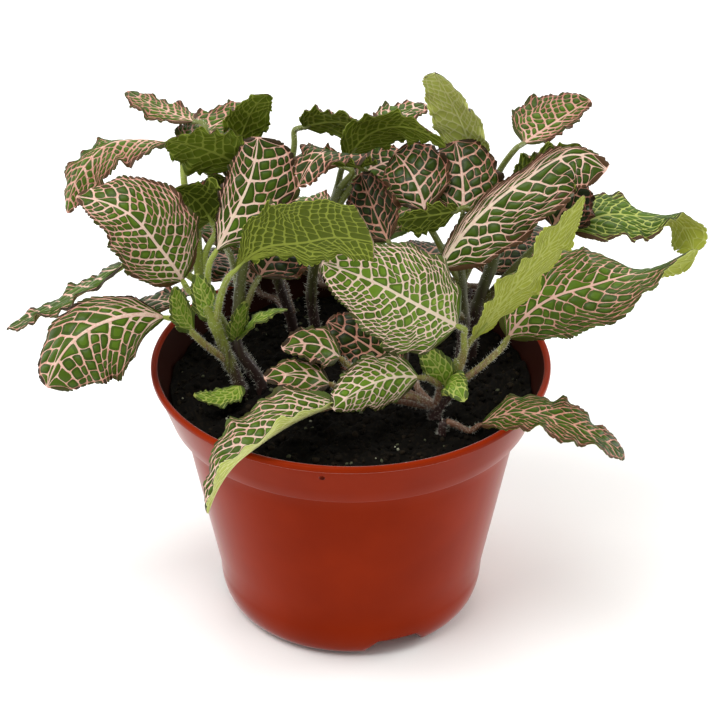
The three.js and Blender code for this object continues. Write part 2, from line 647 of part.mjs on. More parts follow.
// Each shoot: its radius, the points of its main stem from the root up, and its stalks. Its stalks start
// in the stem, and each ends in line with the midrib of the leaf that it carries.
const stems = {
  stem_left_front: {
    radius: 1.7,
    trunk: [[-33, -8], [-36, -8, 86], [-40, -8, 99], [-43, -8, 106]],
    stalks: {
      leaf_left_1: [[-40, -8, 99], [-43, -8, 106]],
      leaf_left_2: [[-36, -8, 86], [-43, -11, 94]],
      leaf_left_9: [[-40, -8, 99], [-38, -10, 110]],
      leaf_left_8: [[-40, -8, 99], [-42, -6, 110]],
    },
    young: ['young_left_1', 'young_left_2', 'young_left_3'],
  },
  stem_left_back: {
    radius: 1.6,
    trunk: [[-30, 2], [-36, 0, 90], [-44, 2, 107], [-46, 7, 122], [-49, 13, 134]],
    stalks: {
      leaf_left_4: [[-46, 7, 122], [-49, 13, 134]],
      leaf_left_3: [[-44, 2, 107], [-53, 1, 114]],
      leaf_left_5: [[-36, 0, 90], [-42, 1, 97]],
      leaf_left_6: [[-44, 2, 107], [-43, 5, 116]],
    },
    young: [],
  },
  stem_left_middle: {
    radius: 1.5,
    trunk: [[-27, -5], [-34, -5, 91], [-33, 1, 104], [-31, 3, 120], [-29, 9, 132]],
    stalks: {
      leaf_left_10: [[-34, -5, 91], [-31, -1, 101]],
      leaf_left_7: [[-33, 1, 104], [-36, 14, 110]],
      leaf_top_3: [[-31, 3, 120], [-29, 9, 132]],
    },
    young: ['young_left_4', 'young_left_5'],
  },
  stem_left_far: {
    radius: 1.5,
    trunk: [[-18, 28], [-23, 28, 96], [-28, 27, 120]],
    stalks: {
      leaf_top_1: [[-28, 27, 120], [-36, 16, 136], [-41, 13, 147]],
      leaf_top_2: [[-28, 27, 120], [-42, 18, 136]],
      leaf_top_4: [[-28, 27, 120], [-31, 24, 134]],
      leaf_top_5: [[-23, 28, 96], [-20, 32, 120], [-17, 36, 136]],
      leaf_back_4: [[-18, 28, 82], [-22, 31, 94]],
      leaf_back_8: [[-18, 28, 79], [-23, 36, 82]],
    },
    young: [],
  },
  stem_middle: {
    radius: 1.5,
    trunk: [[-10, 18], [-12, 17, 95], [-9, 15, 115], [-3, 16, 132]],
    stalks: {
      leaf_top_7: [[-9, 15, 115], [-1, 15, 131]],
      leaf_top_8: [[-9, 15, 115], [-3, 16, 132]],
      leaf_top_6: [[-9, 15, 115], [-4, 24, 128]],
      leaf_middle_1: [[-9, 15, 115], [-1, 18, 131]],
    },
    young: [],
  },
  stem_right_front: {
    radius: 1.8,
    trunk: [[25, -22], [29, -22, 85], [32, -20, 94]],
    stalks: {
      leaf_right_3: [[29, -22, 85], [32, -20, 94]],
      leaf_middle_6: [[29, -22, 85], [33, -21, 96], [33, -22, 104]],
      leaf_right_5: [[29, -22, 85], [39, -19, 92]],
      leaf_front_2: [[25, -22, 79], [26, -25, 88]],
      leaf_front_1: [[25, -22, 79], [16, -30, 88], [5, -33, 89]],
      leaf_middle_7: [[25, -22, 79], [20, -17, 82]],
      leaf_front_4: [[25, -22, 79], [12, -20, 86]],
      leaf_front_5: [[25, -22, 79], [10, -25, 84]],
    },
    young: ['young_right_1', 'young_right_2'],
  },
  stem_right_middle: {
    radius: 1.6,
    trunk: [[33, 5], [34, 7, 92], [33, 7, 104], [32, 8, 118]],
    stalks: {
      leaf_right_1: [[34, 7, 92], [28, -2, 104]],
      leaf_middle_2: [[32, 8, 118], [33, 5, 124]],
      leaf_middle_4: [[33, 7, 104], [25, 4, 122]],
      leaf_middle_3: [[33, 7, 104], [39, 12, 118], [36, 6, 127]],
      leaf_middle_5: [[34, 7, 92], [20, -2, 110]],
    },
    young: [],
  },
  stem_right_back: {
    radius: 1.7,
    trunk: [[36.5, 14], [38, 14, 92], [42, 14, 106], [47, 22, 120]],
    stalks: {
      leaf_right_2: [[38, 14, 92], [53, 12, 112]],
      leaf_right_6: [[42, 14, 106], [43, 31, 125]],
      leaf_right_7: [[42, 14, 106], [47, 22, 120], [50, 36, 119]],
      leaf_top_9: [[42, 14, 106], [43, 26, 120]],
      leaf_right_4: [[38, 14, 92], [55, 11, 111]],
    },
    young: [],
  },
  stem_far: {
    radius: 1.5,
    trunk: [[4, 36], [2, 38, 95], [2, 38, 128]],
    stalks: {
      leaf_top_10: [[2, 38, 95], [2, 38, 128]],
      leaf_back_1: [[4, 36, 82], [-2, 38, 94]],
      leaf_back_2: [[4, 36, 82], [3, 38, 92]],
      leaf_back_5: [[4, 36, 79], [-6, 41, 84]],
      leaf_back_6: [[4, 36, 79], [14, 41, 84]],
    },
    young: [],
  },
  stem_right_far: {
    radius: 1.4,
    trunk: [[34, 28], [36, 30, 90]],
    stalks: {
      leaf_back_3: [[34, 28, 79], [36, 30, 90]],
      leaf_back_7: [[34, 28, 79], [44, 28, 82]],
    },
    young: [],
  },
  stem_right_low: {
    radius: 1.2,
    trunk: [[27, -30], [28, -30, 79]],
    stalks: {
      leaf_front_3: [[28, -30, 79], [31, -29.5, 77.5]],
    },
    young: [],
  },
};

// The last stretch of a stalk: it runs in line with its leaf's midrib and stops just short of the blade
function stalkEnd(leaf) {
  const points = leaf.spine.map(vec);
  const forward = midribAt(points, 0.02).sub(points[0]).normalize();
  return [petioleLead, gap + 0.1].map((back) => points[0].clone().addScaledVector(forward, -back).toArray());
}

function makeShoot({ radius, trunk, stalks, young }) {
  const [[rootX, rootY], ...rest] = trunk;
  const ground = soilEdgeHeight + soilCrown;
  const root = [ground - rootDepth, ground - rootDepth / 2, ground + 2].map((z) => [rootX, rootY, z]);
  let shoot = toSolid(makeStem([...root, ...rest], radius, stemSides));
  for (const [name, route] of Object.entries(stalks)) {
    const stalk = makeStem([...route, ...stalkEnd(leaves[name])], petioleRadius, petioleSides);
    shoot = shoot.add(toSolid(stalk));
  }
  for (const name of young) shoot = shoot.add(toSolid(makeBlade(youngLeaves[name], youngBladeRows)));
  return toGeometry(shoot.simplify(sliverSize));
}

function makeStemHole({ radius, trunk: [[x, y]] }) {
  const bottom = soilEdgeHeight + soilCrown - rootDepth - gap;
  const hole = new THREE.CylinderGeometry(radius + gap, radius + gap, stemHoleTop - bottom, 12);
  hole.rotateX(Math.PI / 2);
  hole.translate(x, y, (stemHoleTop + bottom) / 2);
  return toSolid(hole);
}

const plainHalves = { fold: [0.1, 0.1], roll: [-0.3, -0.3], share: [1, 1], broadest: 0.4, blunt: 0.25 };
Object.values({ ...leaves, ...youngLeaves }).forEach((leaf, index) => {
  Object.assign(leaf, { ...plainHalves, ...leaf, phase: index * 1.7 });
});

for (const [name, leaf] of Object.entries(leaves)) {
  const rows = leaf.width < smallBladeWidth ? smallBladeRows : bladeRows;
  addPiece(name, makeBlade(leaf, rows), leafColour, leafRoughness);
}
for (const [name, stem] of Object.entries(stems)) addPiece(name, makeShoot(stem), stemColour, stemRoughness);
addPiece('pot', makePot(), potColour, potRoughness);
addPiece('soil', makeSoil(Object.values(stems).map(makeStemHole)), soilColour, soilDullness);

export default plant;
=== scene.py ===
# A potted nerve plant: the visual model. Sizes are in millimetres until a mesh is made, then in metres.
import math
import bpy
import bmesh
import numpy as np
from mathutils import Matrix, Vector


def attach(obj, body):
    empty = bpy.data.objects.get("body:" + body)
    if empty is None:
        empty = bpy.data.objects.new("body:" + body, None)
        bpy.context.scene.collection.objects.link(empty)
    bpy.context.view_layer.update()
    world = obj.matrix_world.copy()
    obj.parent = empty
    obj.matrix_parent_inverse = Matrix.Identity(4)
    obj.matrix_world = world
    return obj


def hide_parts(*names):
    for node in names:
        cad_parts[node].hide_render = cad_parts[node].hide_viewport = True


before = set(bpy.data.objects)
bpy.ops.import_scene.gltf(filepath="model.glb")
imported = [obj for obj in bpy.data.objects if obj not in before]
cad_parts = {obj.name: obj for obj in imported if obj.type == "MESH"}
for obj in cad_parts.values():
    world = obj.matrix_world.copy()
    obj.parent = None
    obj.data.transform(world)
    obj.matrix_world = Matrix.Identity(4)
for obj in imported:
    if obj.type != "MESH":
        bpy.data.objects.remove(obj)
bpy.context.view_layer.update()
metre = 0.001
seed = 7

# Colours


def linear(hexColour):
    channels = [int(hexColour[i:i + 2], 16) / 255 for i in (1, 3, 5)]
    return tuple(c / 12.92 if c <= 0.04045 else ((c + 0.055) / 1.055) ** 2.4 for c in channels) + (1.0,)


# Adds a node with its settings and its links, each link an input name and the socket that feeds it
def addNode(tree, kind, settings=None, inputs=None, links=None):
    node = tree.nodes.new(kind)
    for name, value in (settings or {}).items():
        setattr(node, name, value)
    for name, value in (inputs or {}).items():
        node.inputs[name].default_value = value
    for name, socket in (links or {}).items():
        tree.links.new(socket, node.inputs[name])
    return node


def plainMaterial(name, hexColour, roughness, ior=1.45, shine=0.5):
    material = bpy.data.materials.new(name)
    material.use_nodes = True
    shader = material.node_tree.nodes["Principled BSDF"]
    shader.inputs["Base Color"].default_value = linear(hexColour)
    shader.inputs["Roughness"].default_value = roughness
    shader.inputs["IOR"].default_value = ior
    shader.inputs["Specular IOR Level"].default_value = shine
    material.diffuse_color = linear(hexColour)
    return material


# Leaf flesh between the veins, upper side: waxy greens from nearly black to lime; the darkest are painted
# shade for leaves deep inside the plant
cellShades = {
    "leaf_cell_shadow": "#182206",
    "leaf_cell_deep": "#253308",
    "leaf_cell_dark": "#314409",
    "leaf_cell_mid": "#3d530c",
    "leaf_cell_clear": "#4b6512",
    "leaf_cell_fresh": "#5f7c1e",
    "leaf_cell_lime": "#7a9433",
    "leaf_cell_pale": "#9cae4e",
}
# Flesh near the margins, where the green turns red-brown
edgeShades = {
    "leaf_edge_brown": "#2f2310",
    "leaf_edge_rust": "#46301a",
    "leaf_edge_olive": "#3a3d14",
    "leaf_edge_green": "#495822",
}
# Veins, from cream near the leaf stalk to a dusky pink at the margins; lime on young and olive leaves
veinShades = {
    "vein_cream": "#dfccb3",
    "vein_blush": "#d9bcaa",
    "vein_shell": "#cfa897",
    "vein_salmon": "#be8d7b",
    "vein_rose": "#a57260",
    "vein_dusk": "#7b4a3c",
    "vein_lime": "#a3ab56",
}
# Undersides: dull, paler, with raised veins a little lighter than the flesh; the "lit" pair is lighter still,
# painted light on a few undersides
underShades = {
    "under_cell_dark": "#465309",
    "under_cell_olive": "#566610",
    "under_cell_bright": "#4c5809",
    "under_cell_pale": "#979f3a",
    "under_cell_lit": "#b6bf5e",
    "under_vein_olive": "#7f8a34",
    "under_vein_bright": "#838d33",
    "under_vein_pale": "#aeb45f",
    "under_vein_lit": "#d2d592",
    "under_vein_pink": "#84704a",
}
leafMaterials = {}
for shades, roughness in ((cellShades, 0.38), (edgeShades, 0.45), (veinShades, 0.5), (underShades, 0.6)):
    for name, shade in shades.items():
        leafMaterials[name] = plainMaterial(name, shade, roughness, 1.4, 0.22)  # fine hairs dull the sheen
cellScale = list(cellShades)
palest = len(cellScale) - 1
veinScale = list(veinShades)
limeVein = veinScale.index("vein_lime")
edgeScale = list(edgeShades)

# Ways a leaf can look. cells: its darkest and lightest place on the scale of greens. veins: its palest and
# pinkest place on the scale of veins. vein: the veins' breadth, 1 being usual. mesh: the size of the net's
# cells, 1 being usual. edge: the shades of its margin. under: the underside's flesh and vein.
looks = {
    "fresh": {"cells": (3.4, 5.6), "veins": (0.0, 1.7), "vein": 1.0, "mesh": 1.05, "edge": (2, 3),
              "under": ("under_cell_pale", "under_vein_pale")},
    "green": {"cells": (2.2, 4.2), "veins": (0.8, 3.4), "vein": 1.0, "mesh": 1.1, "edge": (1, 2),
              "under": ("under_cell_olive", "under_vein_olive")},
    "deep": {"cells": (1.5, 3.5), "veins": (0.4, 3.2), "vein": 1.1, "mesh": 1.35, "edge": (0, 2),
             "under": ("under_cell_dark", "under_vein_olive")},
    "broad": {"cells": (1.6, 3.6), "veins": (0.4, 3.0), "vein": 1.15, "mesh": 1.7, "edge": (1, 2),
              "under": ("under_cell_dark", "under_vein_olive")},
    "tan": {"cells": (2.2, 4.3), "veins": (2.0, 3.8), "vein": 0.7, "mesh": 1.4, "edge": (2, 3),
            "under": ("under_cell_pale", "under_vein_pale")},
    "rust": {"cells": (1.8, 3.2), "veins": (3.0, 4.6), "vein": 1.0, "mesh": 1.2, "edge": (1, 2),
             "under": ("under_cell_olive", "under_vein_olive")},
    "pink": {"cells": (2.4, 4.0), "veins": (1.4, 3.6), "vein": 1.4, "mesh": 1.6, "edge": (0, 2),
             "under": ("under_cell_dark", "under_vein_pink")},
    "dusky": {"cells": (2.4, 4.2), "veins": (2.2, 4.4), "vein": 1.1, "mesh": 1.0, "edge": (1, 2),
              "under": ("under_cell_dark", "under_vein_pink")},
    # Painted shade: "dim" and "shade" are darker looks, with near-black greens and dusky veins, for leaves
    # deep inside the plant
    "dim": {"cells": (0.8, 2.6), "veins": (1.6, 4.4), "vein": 1.0, "mesh": 1.15, "edge": (0, 1),
            "under": ("under_cell_dark", "under_vein_olive")},
    "shade": {"cells": (0.0, 1.4), "veins": (3.0, 5.0), "vein": 0.9, "mesh": 1.1, "edge": (0, 1),
              "under": ("under_cell_dark", "under_vein_olive")},
    "bright": {"cells": (3.4, 5.4), "veins": (0.2, 2.4), "vein": 1.15, "mesh": 1.3, "edge": (2, 3),
               "under": ("under_cell_bright", "under_vein_bright")},
    "pale": {"cells": (2.6, 4.6), "veins": (0.5, 2.8), "vein": 0.9, "mesh": 1.2, "edge": (2, 3),
             "under": ("under_cell_pale", "under_vein_pale")},
    # Painted light: "lit" gives its undersides lighter flesh and veins
    "lit": {"cells": (2.6, 4.6), "veins": (0.5, 2.8), "vein": 1.0, "mesh": 1.2, "edge": (2, 3),
            "under": ("under_cell_lit", "under_vein_lit")},
    "olive": {"cells": (2.8, 4.4), "veins": (6.0, 6.0), "vein": 0.8, "mesh": 1.2, "edge": (1, 2),
              "under": ("under_cell_pale", "under_vein_pale")},
    "young": {"cells": (4.6, 6.2), "veins": (6.0, 6.0), "vein": 0.8, "mesh": 0.9, "edge": (3, 3),
              "under": ("under_cell_pale", "under_vein_pale")},
}


# Large leaves: points on the midrib from the base, where the upper side looks, and how each half stands
leaves = {
  "leaf_left_1": {
    "spine": [[-49, -10, 115], [-55, -14, 128], [-64, -16, 141], [-79, -10, 143]],
    "face": [[0.2, -0.8, 0.5], [0.1, -0.8, 0.6], [-0.2, -0.5, 0.9]],
    "width": 26, "fold": [0.15, 0.15], "roll": [-0.4, -0.4], "share": [0.9, 1.12], "blunt": 0.1,
  },
  "leaf_left_2": {
    "spine": [[-54, -14, 105], [-68, -21, 109], [-79, -27, 106], [-88, -32, 92]],
    "face": [[-0.1, -0.8, 0.6], [-0.2, -0.9, 0.4]],
    "width": 30, "fold": [0.1, -0.4], "roll": [-0.4, -0.3], "share": [1.1, 0.7],
    "broadest": 0.55, "blunt": 0.4,
  },
  "leaf_left_3": {
    "spine": [[-67, 0, 115], [-76, 0, 108], [-87, 2, 100], [-103, 6, 90]],
    "face": [[-0.2, 0.2, 0.95], [-0.1, 0.1, 0.95]],
    "width": 23, "fold": [0.2, 0.2],
  },
  "leaf_left_4": {
    "spine": [[-54, 18, 146], [-63, 14, 149], [-71, 9, 150], [-77.5, 5, 145], [-83, 2, 131]],
    "face": [[0.1, 0.8, 0.6], [0, 0.5, 0.8], [-0.5, -0.2, 0.8], [-0.7, -0.4, 0.5]],
    "width": 19, "fold": [-0.6, 0.1], "share": [0.9, 1],
  },
  "leaf_left_5": {
    "spine": [[-52, 2, 100], [-58, 10, 97], [-65, 18, 92]],
    "face": [[-0.3, 0.1, 0.9], [-0.3, 0.1, 0.9]],
    "width": 17, "roll": [-0.4, -0.4],
  },
  "leaf_left_6": {
    "spine": [[-41.4, 8.6, 125], [-45.4, 6.6, 133], [-51.4, 0.6, 140]],
    "face": [[0, 0.9, 0.2], [0, 0.9, 0.3]],
    "width": 22, "fold": [0.1, -0.9], "roll": [-0.3, -0.4],
  },
  "leaf_left_7": {
    "spine": [[-38, 18, 116], [-38, 15, 128], [-40, 10, 140]],
    "face": [[0.2, 0.9, 0.2], [0.1, 0.9, 0.4]],
    "width": 15,
  },
  "leaf_left_8": {
    "spine": [[-39.5, -4, 121.4], [-34, -1, 132], [-29.3, 3, 141.5], [-27, 9, 152.5]],
    "face": [[-0.2, -0.9, 0.3], [0, -0.9, 0.4]],
    "width": 26, "fold": [0.1, 0], "roll": [-0.4, -0.3], "share": [0.55, 1.1], "broadest": 0.6, "blunt": 0.45,
  },
  "leaf_left_9": {
    "spine": [[-34, -15, 121], [-25, -22.5, 133], [-13, -33, 140.8], [-3, -43, 148], [6.5, -50, 150.4]],
    "face": [[-0.1, 0.9, 0.2], [0.2, 0.95, 0.1], [0.1, 0.95, 0.25]],
    "width": 26.5, "fold": [-0.3, 0], "share": [0.45, 1.3], "broadest": 0.69, "blunt": 0.8,
  },
  "leaf_left_10": {
    "spine": [[-27, 5, 108], [-23, 12, 111], [-17, 21, 114]],
    "face": [[0.1, -0.4, 0.9], [0.1, -0.5, 0.9]],
    "width": 21, "fold": [0.2, 0.2],
  },
  "leaf_top_1": {
    "spine": [[-46, 20, 152], [-56, 30, 151], [-67, 42, 151]],
    "face": [[0.1, 0, 1], [0, 0.1, 1]],
    "width": 13,
  },
  "leaf_top_2": {
    "spine": [[-50, 18, 146], [-40, 28, 147], [-30, 38, 149]],
    "face": [[0, 0, 1], [0, 0, 1]],
    "width": 18, "fold": [0.2, 0.2],
  },
  "leaf_top_3": {
    "spine": [[-33, 12, 142], [-42, 8, 149], [-53, 2, 155]],
    "face": [[0, 0.95, 0.2], [0, 0.9, 0.4]],
    "width": 20,
  },
  "leaf_top_4": {
    "spine": [[-34, 18, 143], [-31, 17, 152], [-28, 14, 160], [-24, 10, 166]],
    "face": [[0, 0.9, 0.2], [-0.3, 0.9, 0.2]],
    "width": 13,
  },
  "leaf_top_5": {
    "spine": [[-14, 36, 142], [-5, 30, 147], [5, 22, 149]],
    "face": [[0, 0.8, 0.4], [0, 0.8, 0.4]],
    "width": 16,
  },
  "leaf_top_6": {
    "spine": [[-1, 25, 137], [5, 23, 146], [15, 17, 152], [28, 8, 150]],
    "face": [[-0.4, 0.8, 0.3], [0, 0.9, 0.4], [0.2, 0.8, 0.6]],
    "width": 17,
  },
  "leaf_top_7": {
    "spine": [[3, 12, 141], [-2, 6, 148], [-8, 0, 152], [-15, -6, 144]],
    "face": [[0, 0.5, 0.8], [-0.2, 0, 1], [-0.7, -0.6, 0.5]],
    "width": 20,
  },
  "leaf_top_8": {
    "spine": [[-3, 17, 139], [-10, 21, 140], [-16, 27, 137]],
    "face": [[0, 0, 1], [-0.1, -0.1, 1]],
    "width": 13,
  },
  "leaf_top_9": {
    "spine": [[38, 30, 131], [33.5, 26, 147], [28.5, 20, 161], [24.5, 14, 171]],
    "face": [[0, 0.9, 0.2], [0, 0.9, 0.2], [0, 0.8, 0.5]],
    "width": 16, "fold": [-0.5, 0.1], "blunt": 0.5,
  },
  "leaf_top_10": {
    "spine": [[8, 37, 143], [15, 43, 143], [23, 49, 143]],
    "face": [[0, 0, 1], [0, 0, 1]],
    "width": 13, "fold": [0.2, 0.2],
  },
  "leaf_middle_1": {
    "spine": [[2, 21, 133], [10, 28, 134], [18, 35, 132]],
    "face": [[0, -0.6, 0.8], [0, -0.6, 0.8]],
    "width": 15, "fold": [0.2, 0.2],
  },
  "leaf_middle_2": {
    "spine": [[33, 6, 129], [33, 12, 136], [31, 21, 145]],
    "face": [[0, -0.8, 0.5], [0, -0.8, 0.5]],
    "width": 23, "blunt": 0.45,
  },
  "leaf_middle_3": {
    "spine": [[31, 3, 131.5], [22, -3, 133], [13.5, -7.5, 134]],
    "face": [[0, 0.8, 0.2], [0, 0.8, 0.2]],
    "width": 15, "share": [0.6, 1],
  },
  "leaf_middle_4": {
    "spine": [[22, 5, 130], [19, 11, 137], [13, 21, 141]],
    "face": [[0, -0.8, 0.5], [-0.1, -0.8, 0.5]],
    "width": 22, "broadest": 0.5, "blunt": 0.4,
  },
  "leaf_middle_5": {
    "spine": [[11, -2, 124], [7, 4, 131], [3, 12, 139]],
    "face": [[-0.6, -0.7, 0.4], [-0.6, -0.7, 0.5]],
    "width": 18, "fold": [0.3, 0.3],
  },
  "leaf_middle_6": {
    "spine": [[31, -24, 108], [18, -33, 121], [6, -38, 131], [-8, -38, 137]],
    "face": [[0, -0.8, 0.5], [-0.1, -0.8, 0.6]],
    "width": 30, "fold": [0.15, 0.15], "roll": [-0.4, -0.4],
  },
  "leaf_middle_7": {
    "spine": [[16, -12, 85], [5, -10, 93], [-7, -6, 99]],
    "face": [[0.1, -0.7, 0.6], [0.1, -0.7, 0.6]],
    "width": 22,
  },
  "leaf_right_1": {
    "spine": [[26, -3, 115], [34, 1, 126], [50, 6, 139], [67, 10, 146], [75, 8, 142]],
    "face": [[-0.2, -0.8, 0.6], [-0.1, -0.8, 0.6], [0.1, -0.7, 0.7]],
    "width": 27, "roll": [-0.4, -0.3], "share": [0.27, 1], "blunt": 0.6,
  },
  "leaf_right_2": {
    "spine": [[60, 12, 121], [64, 14, 128], [69, 20, 133]],
    "face": [[0, -0.8, 0.5], [0, -0.8, 0.5]],
    "width": 18,
  },
  "leaf_right_3": {
    "spine": [[36, -20, 102], [46, -26, 121], [57, -32, 141], [65, -37, 158]],
    "face": [[-0.4, 0.7, 0.4], [-0.3, 0.8, 0.3]],
    "width": 22, "share": [0.75, 0.55], "blunt": 0.1,
  },
  "leaf_right_4": {
    "spine": [[65, 13, 119], [75, 17, 122], [88, 22, 119], [98, 24, 117], [103, 18, 109]],
    "face": [[0, -0.3, 1], [0.1, -0.2, 1], [0.1, 0, 1], [0.3, 0.7, 0.7], [0.3, 0.9, 0.1]],
    "width": 23, "blunt": 0.5,
  },
  "leaf_right_5": {
    "spine": [[46, -16, 99], [57, -18, 113], [72, -15, 117], [88, -8, 118], [101, -2, 118]],
    "face": [[0, -0.8, 0.6], [0.1, -0.8, 0.6], [0.1, -0.7, 0.7], [0, 0.5, 0.9], [-0.1, 0.9, 0.4]],
    "width": 25, "blunt": 0.55,
  },
  "leaf_right_6": {
    "spine": [[52, 35, 137], [61, 44, 139], [73, 54, 142]],
    "face": [[0, -0.5, 0.9], [0, -0.4, 0.9]],
    "width": 17, "share": [1.4, 0.5], "blunt": 0.35,
  },
  "leaf_right_7": {
    "spine": [[51, 35, 125], [58, 30, 134], [68, 25, 142]],
    "face": [[0, 0.9, 0.3], [0, 0.8, 0.5]],
    "width": 21, "share": [1.15, 0.55],
  },
  "leaf_front_1": {
    "spine": [[-3, -36, 89], [-15, -43, 88], [-25, -50, 85], [-34, -56, 80], [-41, -62, 68]],
    "face": [[-0.2, -0.4, 0.9], [-0.4, -0.4, 0.8], [-0.8, -0.4, 0.4]],
    "width": 23, "fold": [0.9, 0.4], "roll": [0.2, -0.3], "blunt": 0,
  },
  "leaf_front_2": {
    "spine": [[20, -28, 93], [10, -34, 96], [1, -40, 95], [-5, -44, 92]],
    "face": [[0, -0.5, 0.9], [-0.1, -0.7, 0.7]],
    "width": 17, "fold": [-0.7, 0.2], "roll": [-0.4, -0.3],
  },
  "leaf_front_3": {
    "spine": [[38, -30, 78], [49, -32, 83.5], [64, -36, 82], [80, -38, 72]],
    "face": [[0, 0, 1], [0.2, 0, 1]],
    "width": 20, "fold": [0.2, 0.2], "blunt": 0.4,
  },
  "leaf_front_4": {
    "spine": [[-3, -17, 93], [-11, -19, 99], [-20, -22, 99]],
    "face": [[-0.1, -0.4, 0.9], [-0.3, -0.4, 0.9]],
    "width": 14,
  },
  "leaf_front_5": {
    "spine": [[-6, -25, 89], [-15, -28, 94], [-25, -32, 95]],
    "face": [[-0.1, -0.5, 0.9], [-0.3, -0.5, 0.9]],
    "width": 12,
  },
  "leaf_back_1": {
    "spine": [[-8, 40, 99], [-16, 54, 105], [-27, 69, 96]],
    "face": [[-0.2, 0.1, 1], [-0.3, 0.5, 0.8]],
    "width": 25, "roll": [-0.4, -0.4],
  },
  "leaf_back_2": {
    "spine": [[6, 40, 99], [12, 55, 107], [18, 72, 99]],
    "face": [[0, 0.1, 1], [0.1, 0.5, 0.8]],
    "width": 25, "roll": [-0.4, -0.4],
  },
  "leaf_back_3": {
    "spine": [[41, 33, 93], [48, 43, 100], [60, 57, 96]],
    "face": [[0.1, 0.1, 1], [0.3, 0.4, 0.8]],
    "width": 33, "roll": [-0.4, -0.4],
  },
  "leaf_back_4": {
    "spine": [[-28, 34, 100], [-43, 47, 106], [-59, 57, 98]],
    "face": [[-0.1, 0.1, 1], [-0.3, 0.4, 0.8]],
    "width": 26, "roll": [-0.4, -0.4],
  },
  "leaf_back_5": {
    "spine": [[-10, 44, 86], [-15, 62, 87], [-19, 78, 76]],
    "face": [[0, 0.1, 1], [0, 0.6, 0.8]],
    "width": 24, "roll": [-0.4, -0.4],
  },
  "leaf_back_6": {
    "spine": [[20, 44, 86], [27, 61, 87], [33, 76, 76]],
    "face": [[0, 0.1, 1], [0.2, 0.6, 0.8]],
    "width": 24, "roll": [-0.4, -0.4],
  },
  "leaf_back_7": {
    "spine": [[50, 30, 84], [66, 41, 90], [82, 50, 81]],
    "face": [[0.1, 0.1, 1], [0.3, 0.4, 0.8]],
    "width": 25, "roll": [-0.4, -0.4],
  },
  "leaf_back_8": {
    "spine": [[-30, 42, 84], [-41, 56, 87], [-53, 68, 79]],
    "face": [[-0.1, 0.1, 1], [-0.3, 0.4, 0.8]],
    "width": 23, "roll": [-0.4, -0.4],
  },
}

youngLeaves = {
  "young_left_1": {
    "spine": [[-40, -8, 100], [-43, -9, 109], [-45, -9, 117]],
    "face": [[0.2, -0.8, 0.5], [-0.2, -0.8, 0.5]],
    "width": 8,
  },
  "young_left_2": {
    "spine": [[-33, -9, 79], [-39, -18, 80], [-46, -23, 84]],
    "face": [[0, 0, 1], [0, -0.3, 1]],
    "width": 9,
  },
  "young_left_3": {
    "spine": [[-46, -11, 99], [-50, -15, 109], [-51, -17, 117]],
    "face": [[0.6, -0.7, 0.3], [0.6, -0.7, 0.3]],
    "width": 8,
  },
  "young_left_4": {
    "spine": [[-34, -5, 91], [-33, -8, 100], [-31, -10, 108]],
    "face": [[0.5, -0.8, 0.3], [0.5, -0.8, 0.3]],
    "width": 7,
  },
  "young_left_5": {
    "spine": [[-34, -5, 91], [-28, -3, 98], [-19, 3, 98]],
    "face": [[0, 0.3, 1], [0, 0.3, 1]],
    "width": 8,
  },
  "young_right_1": {
    "spine": [[28, -24, 87], [25, -25, 95], [20, -25, 101]],
    "face": [[0, -0.8, 0.5], [0, -0.8, 0.5]],
    "width": 9,
  },
  "young_right_2": {
    "spine": [[28, -24, 86], [30, -30, 92], [33, -35, 89]],
    "face": [[0, -0.5, 0.9], [0, -0.8, 0.5]],
    "width": 9,
  },
}

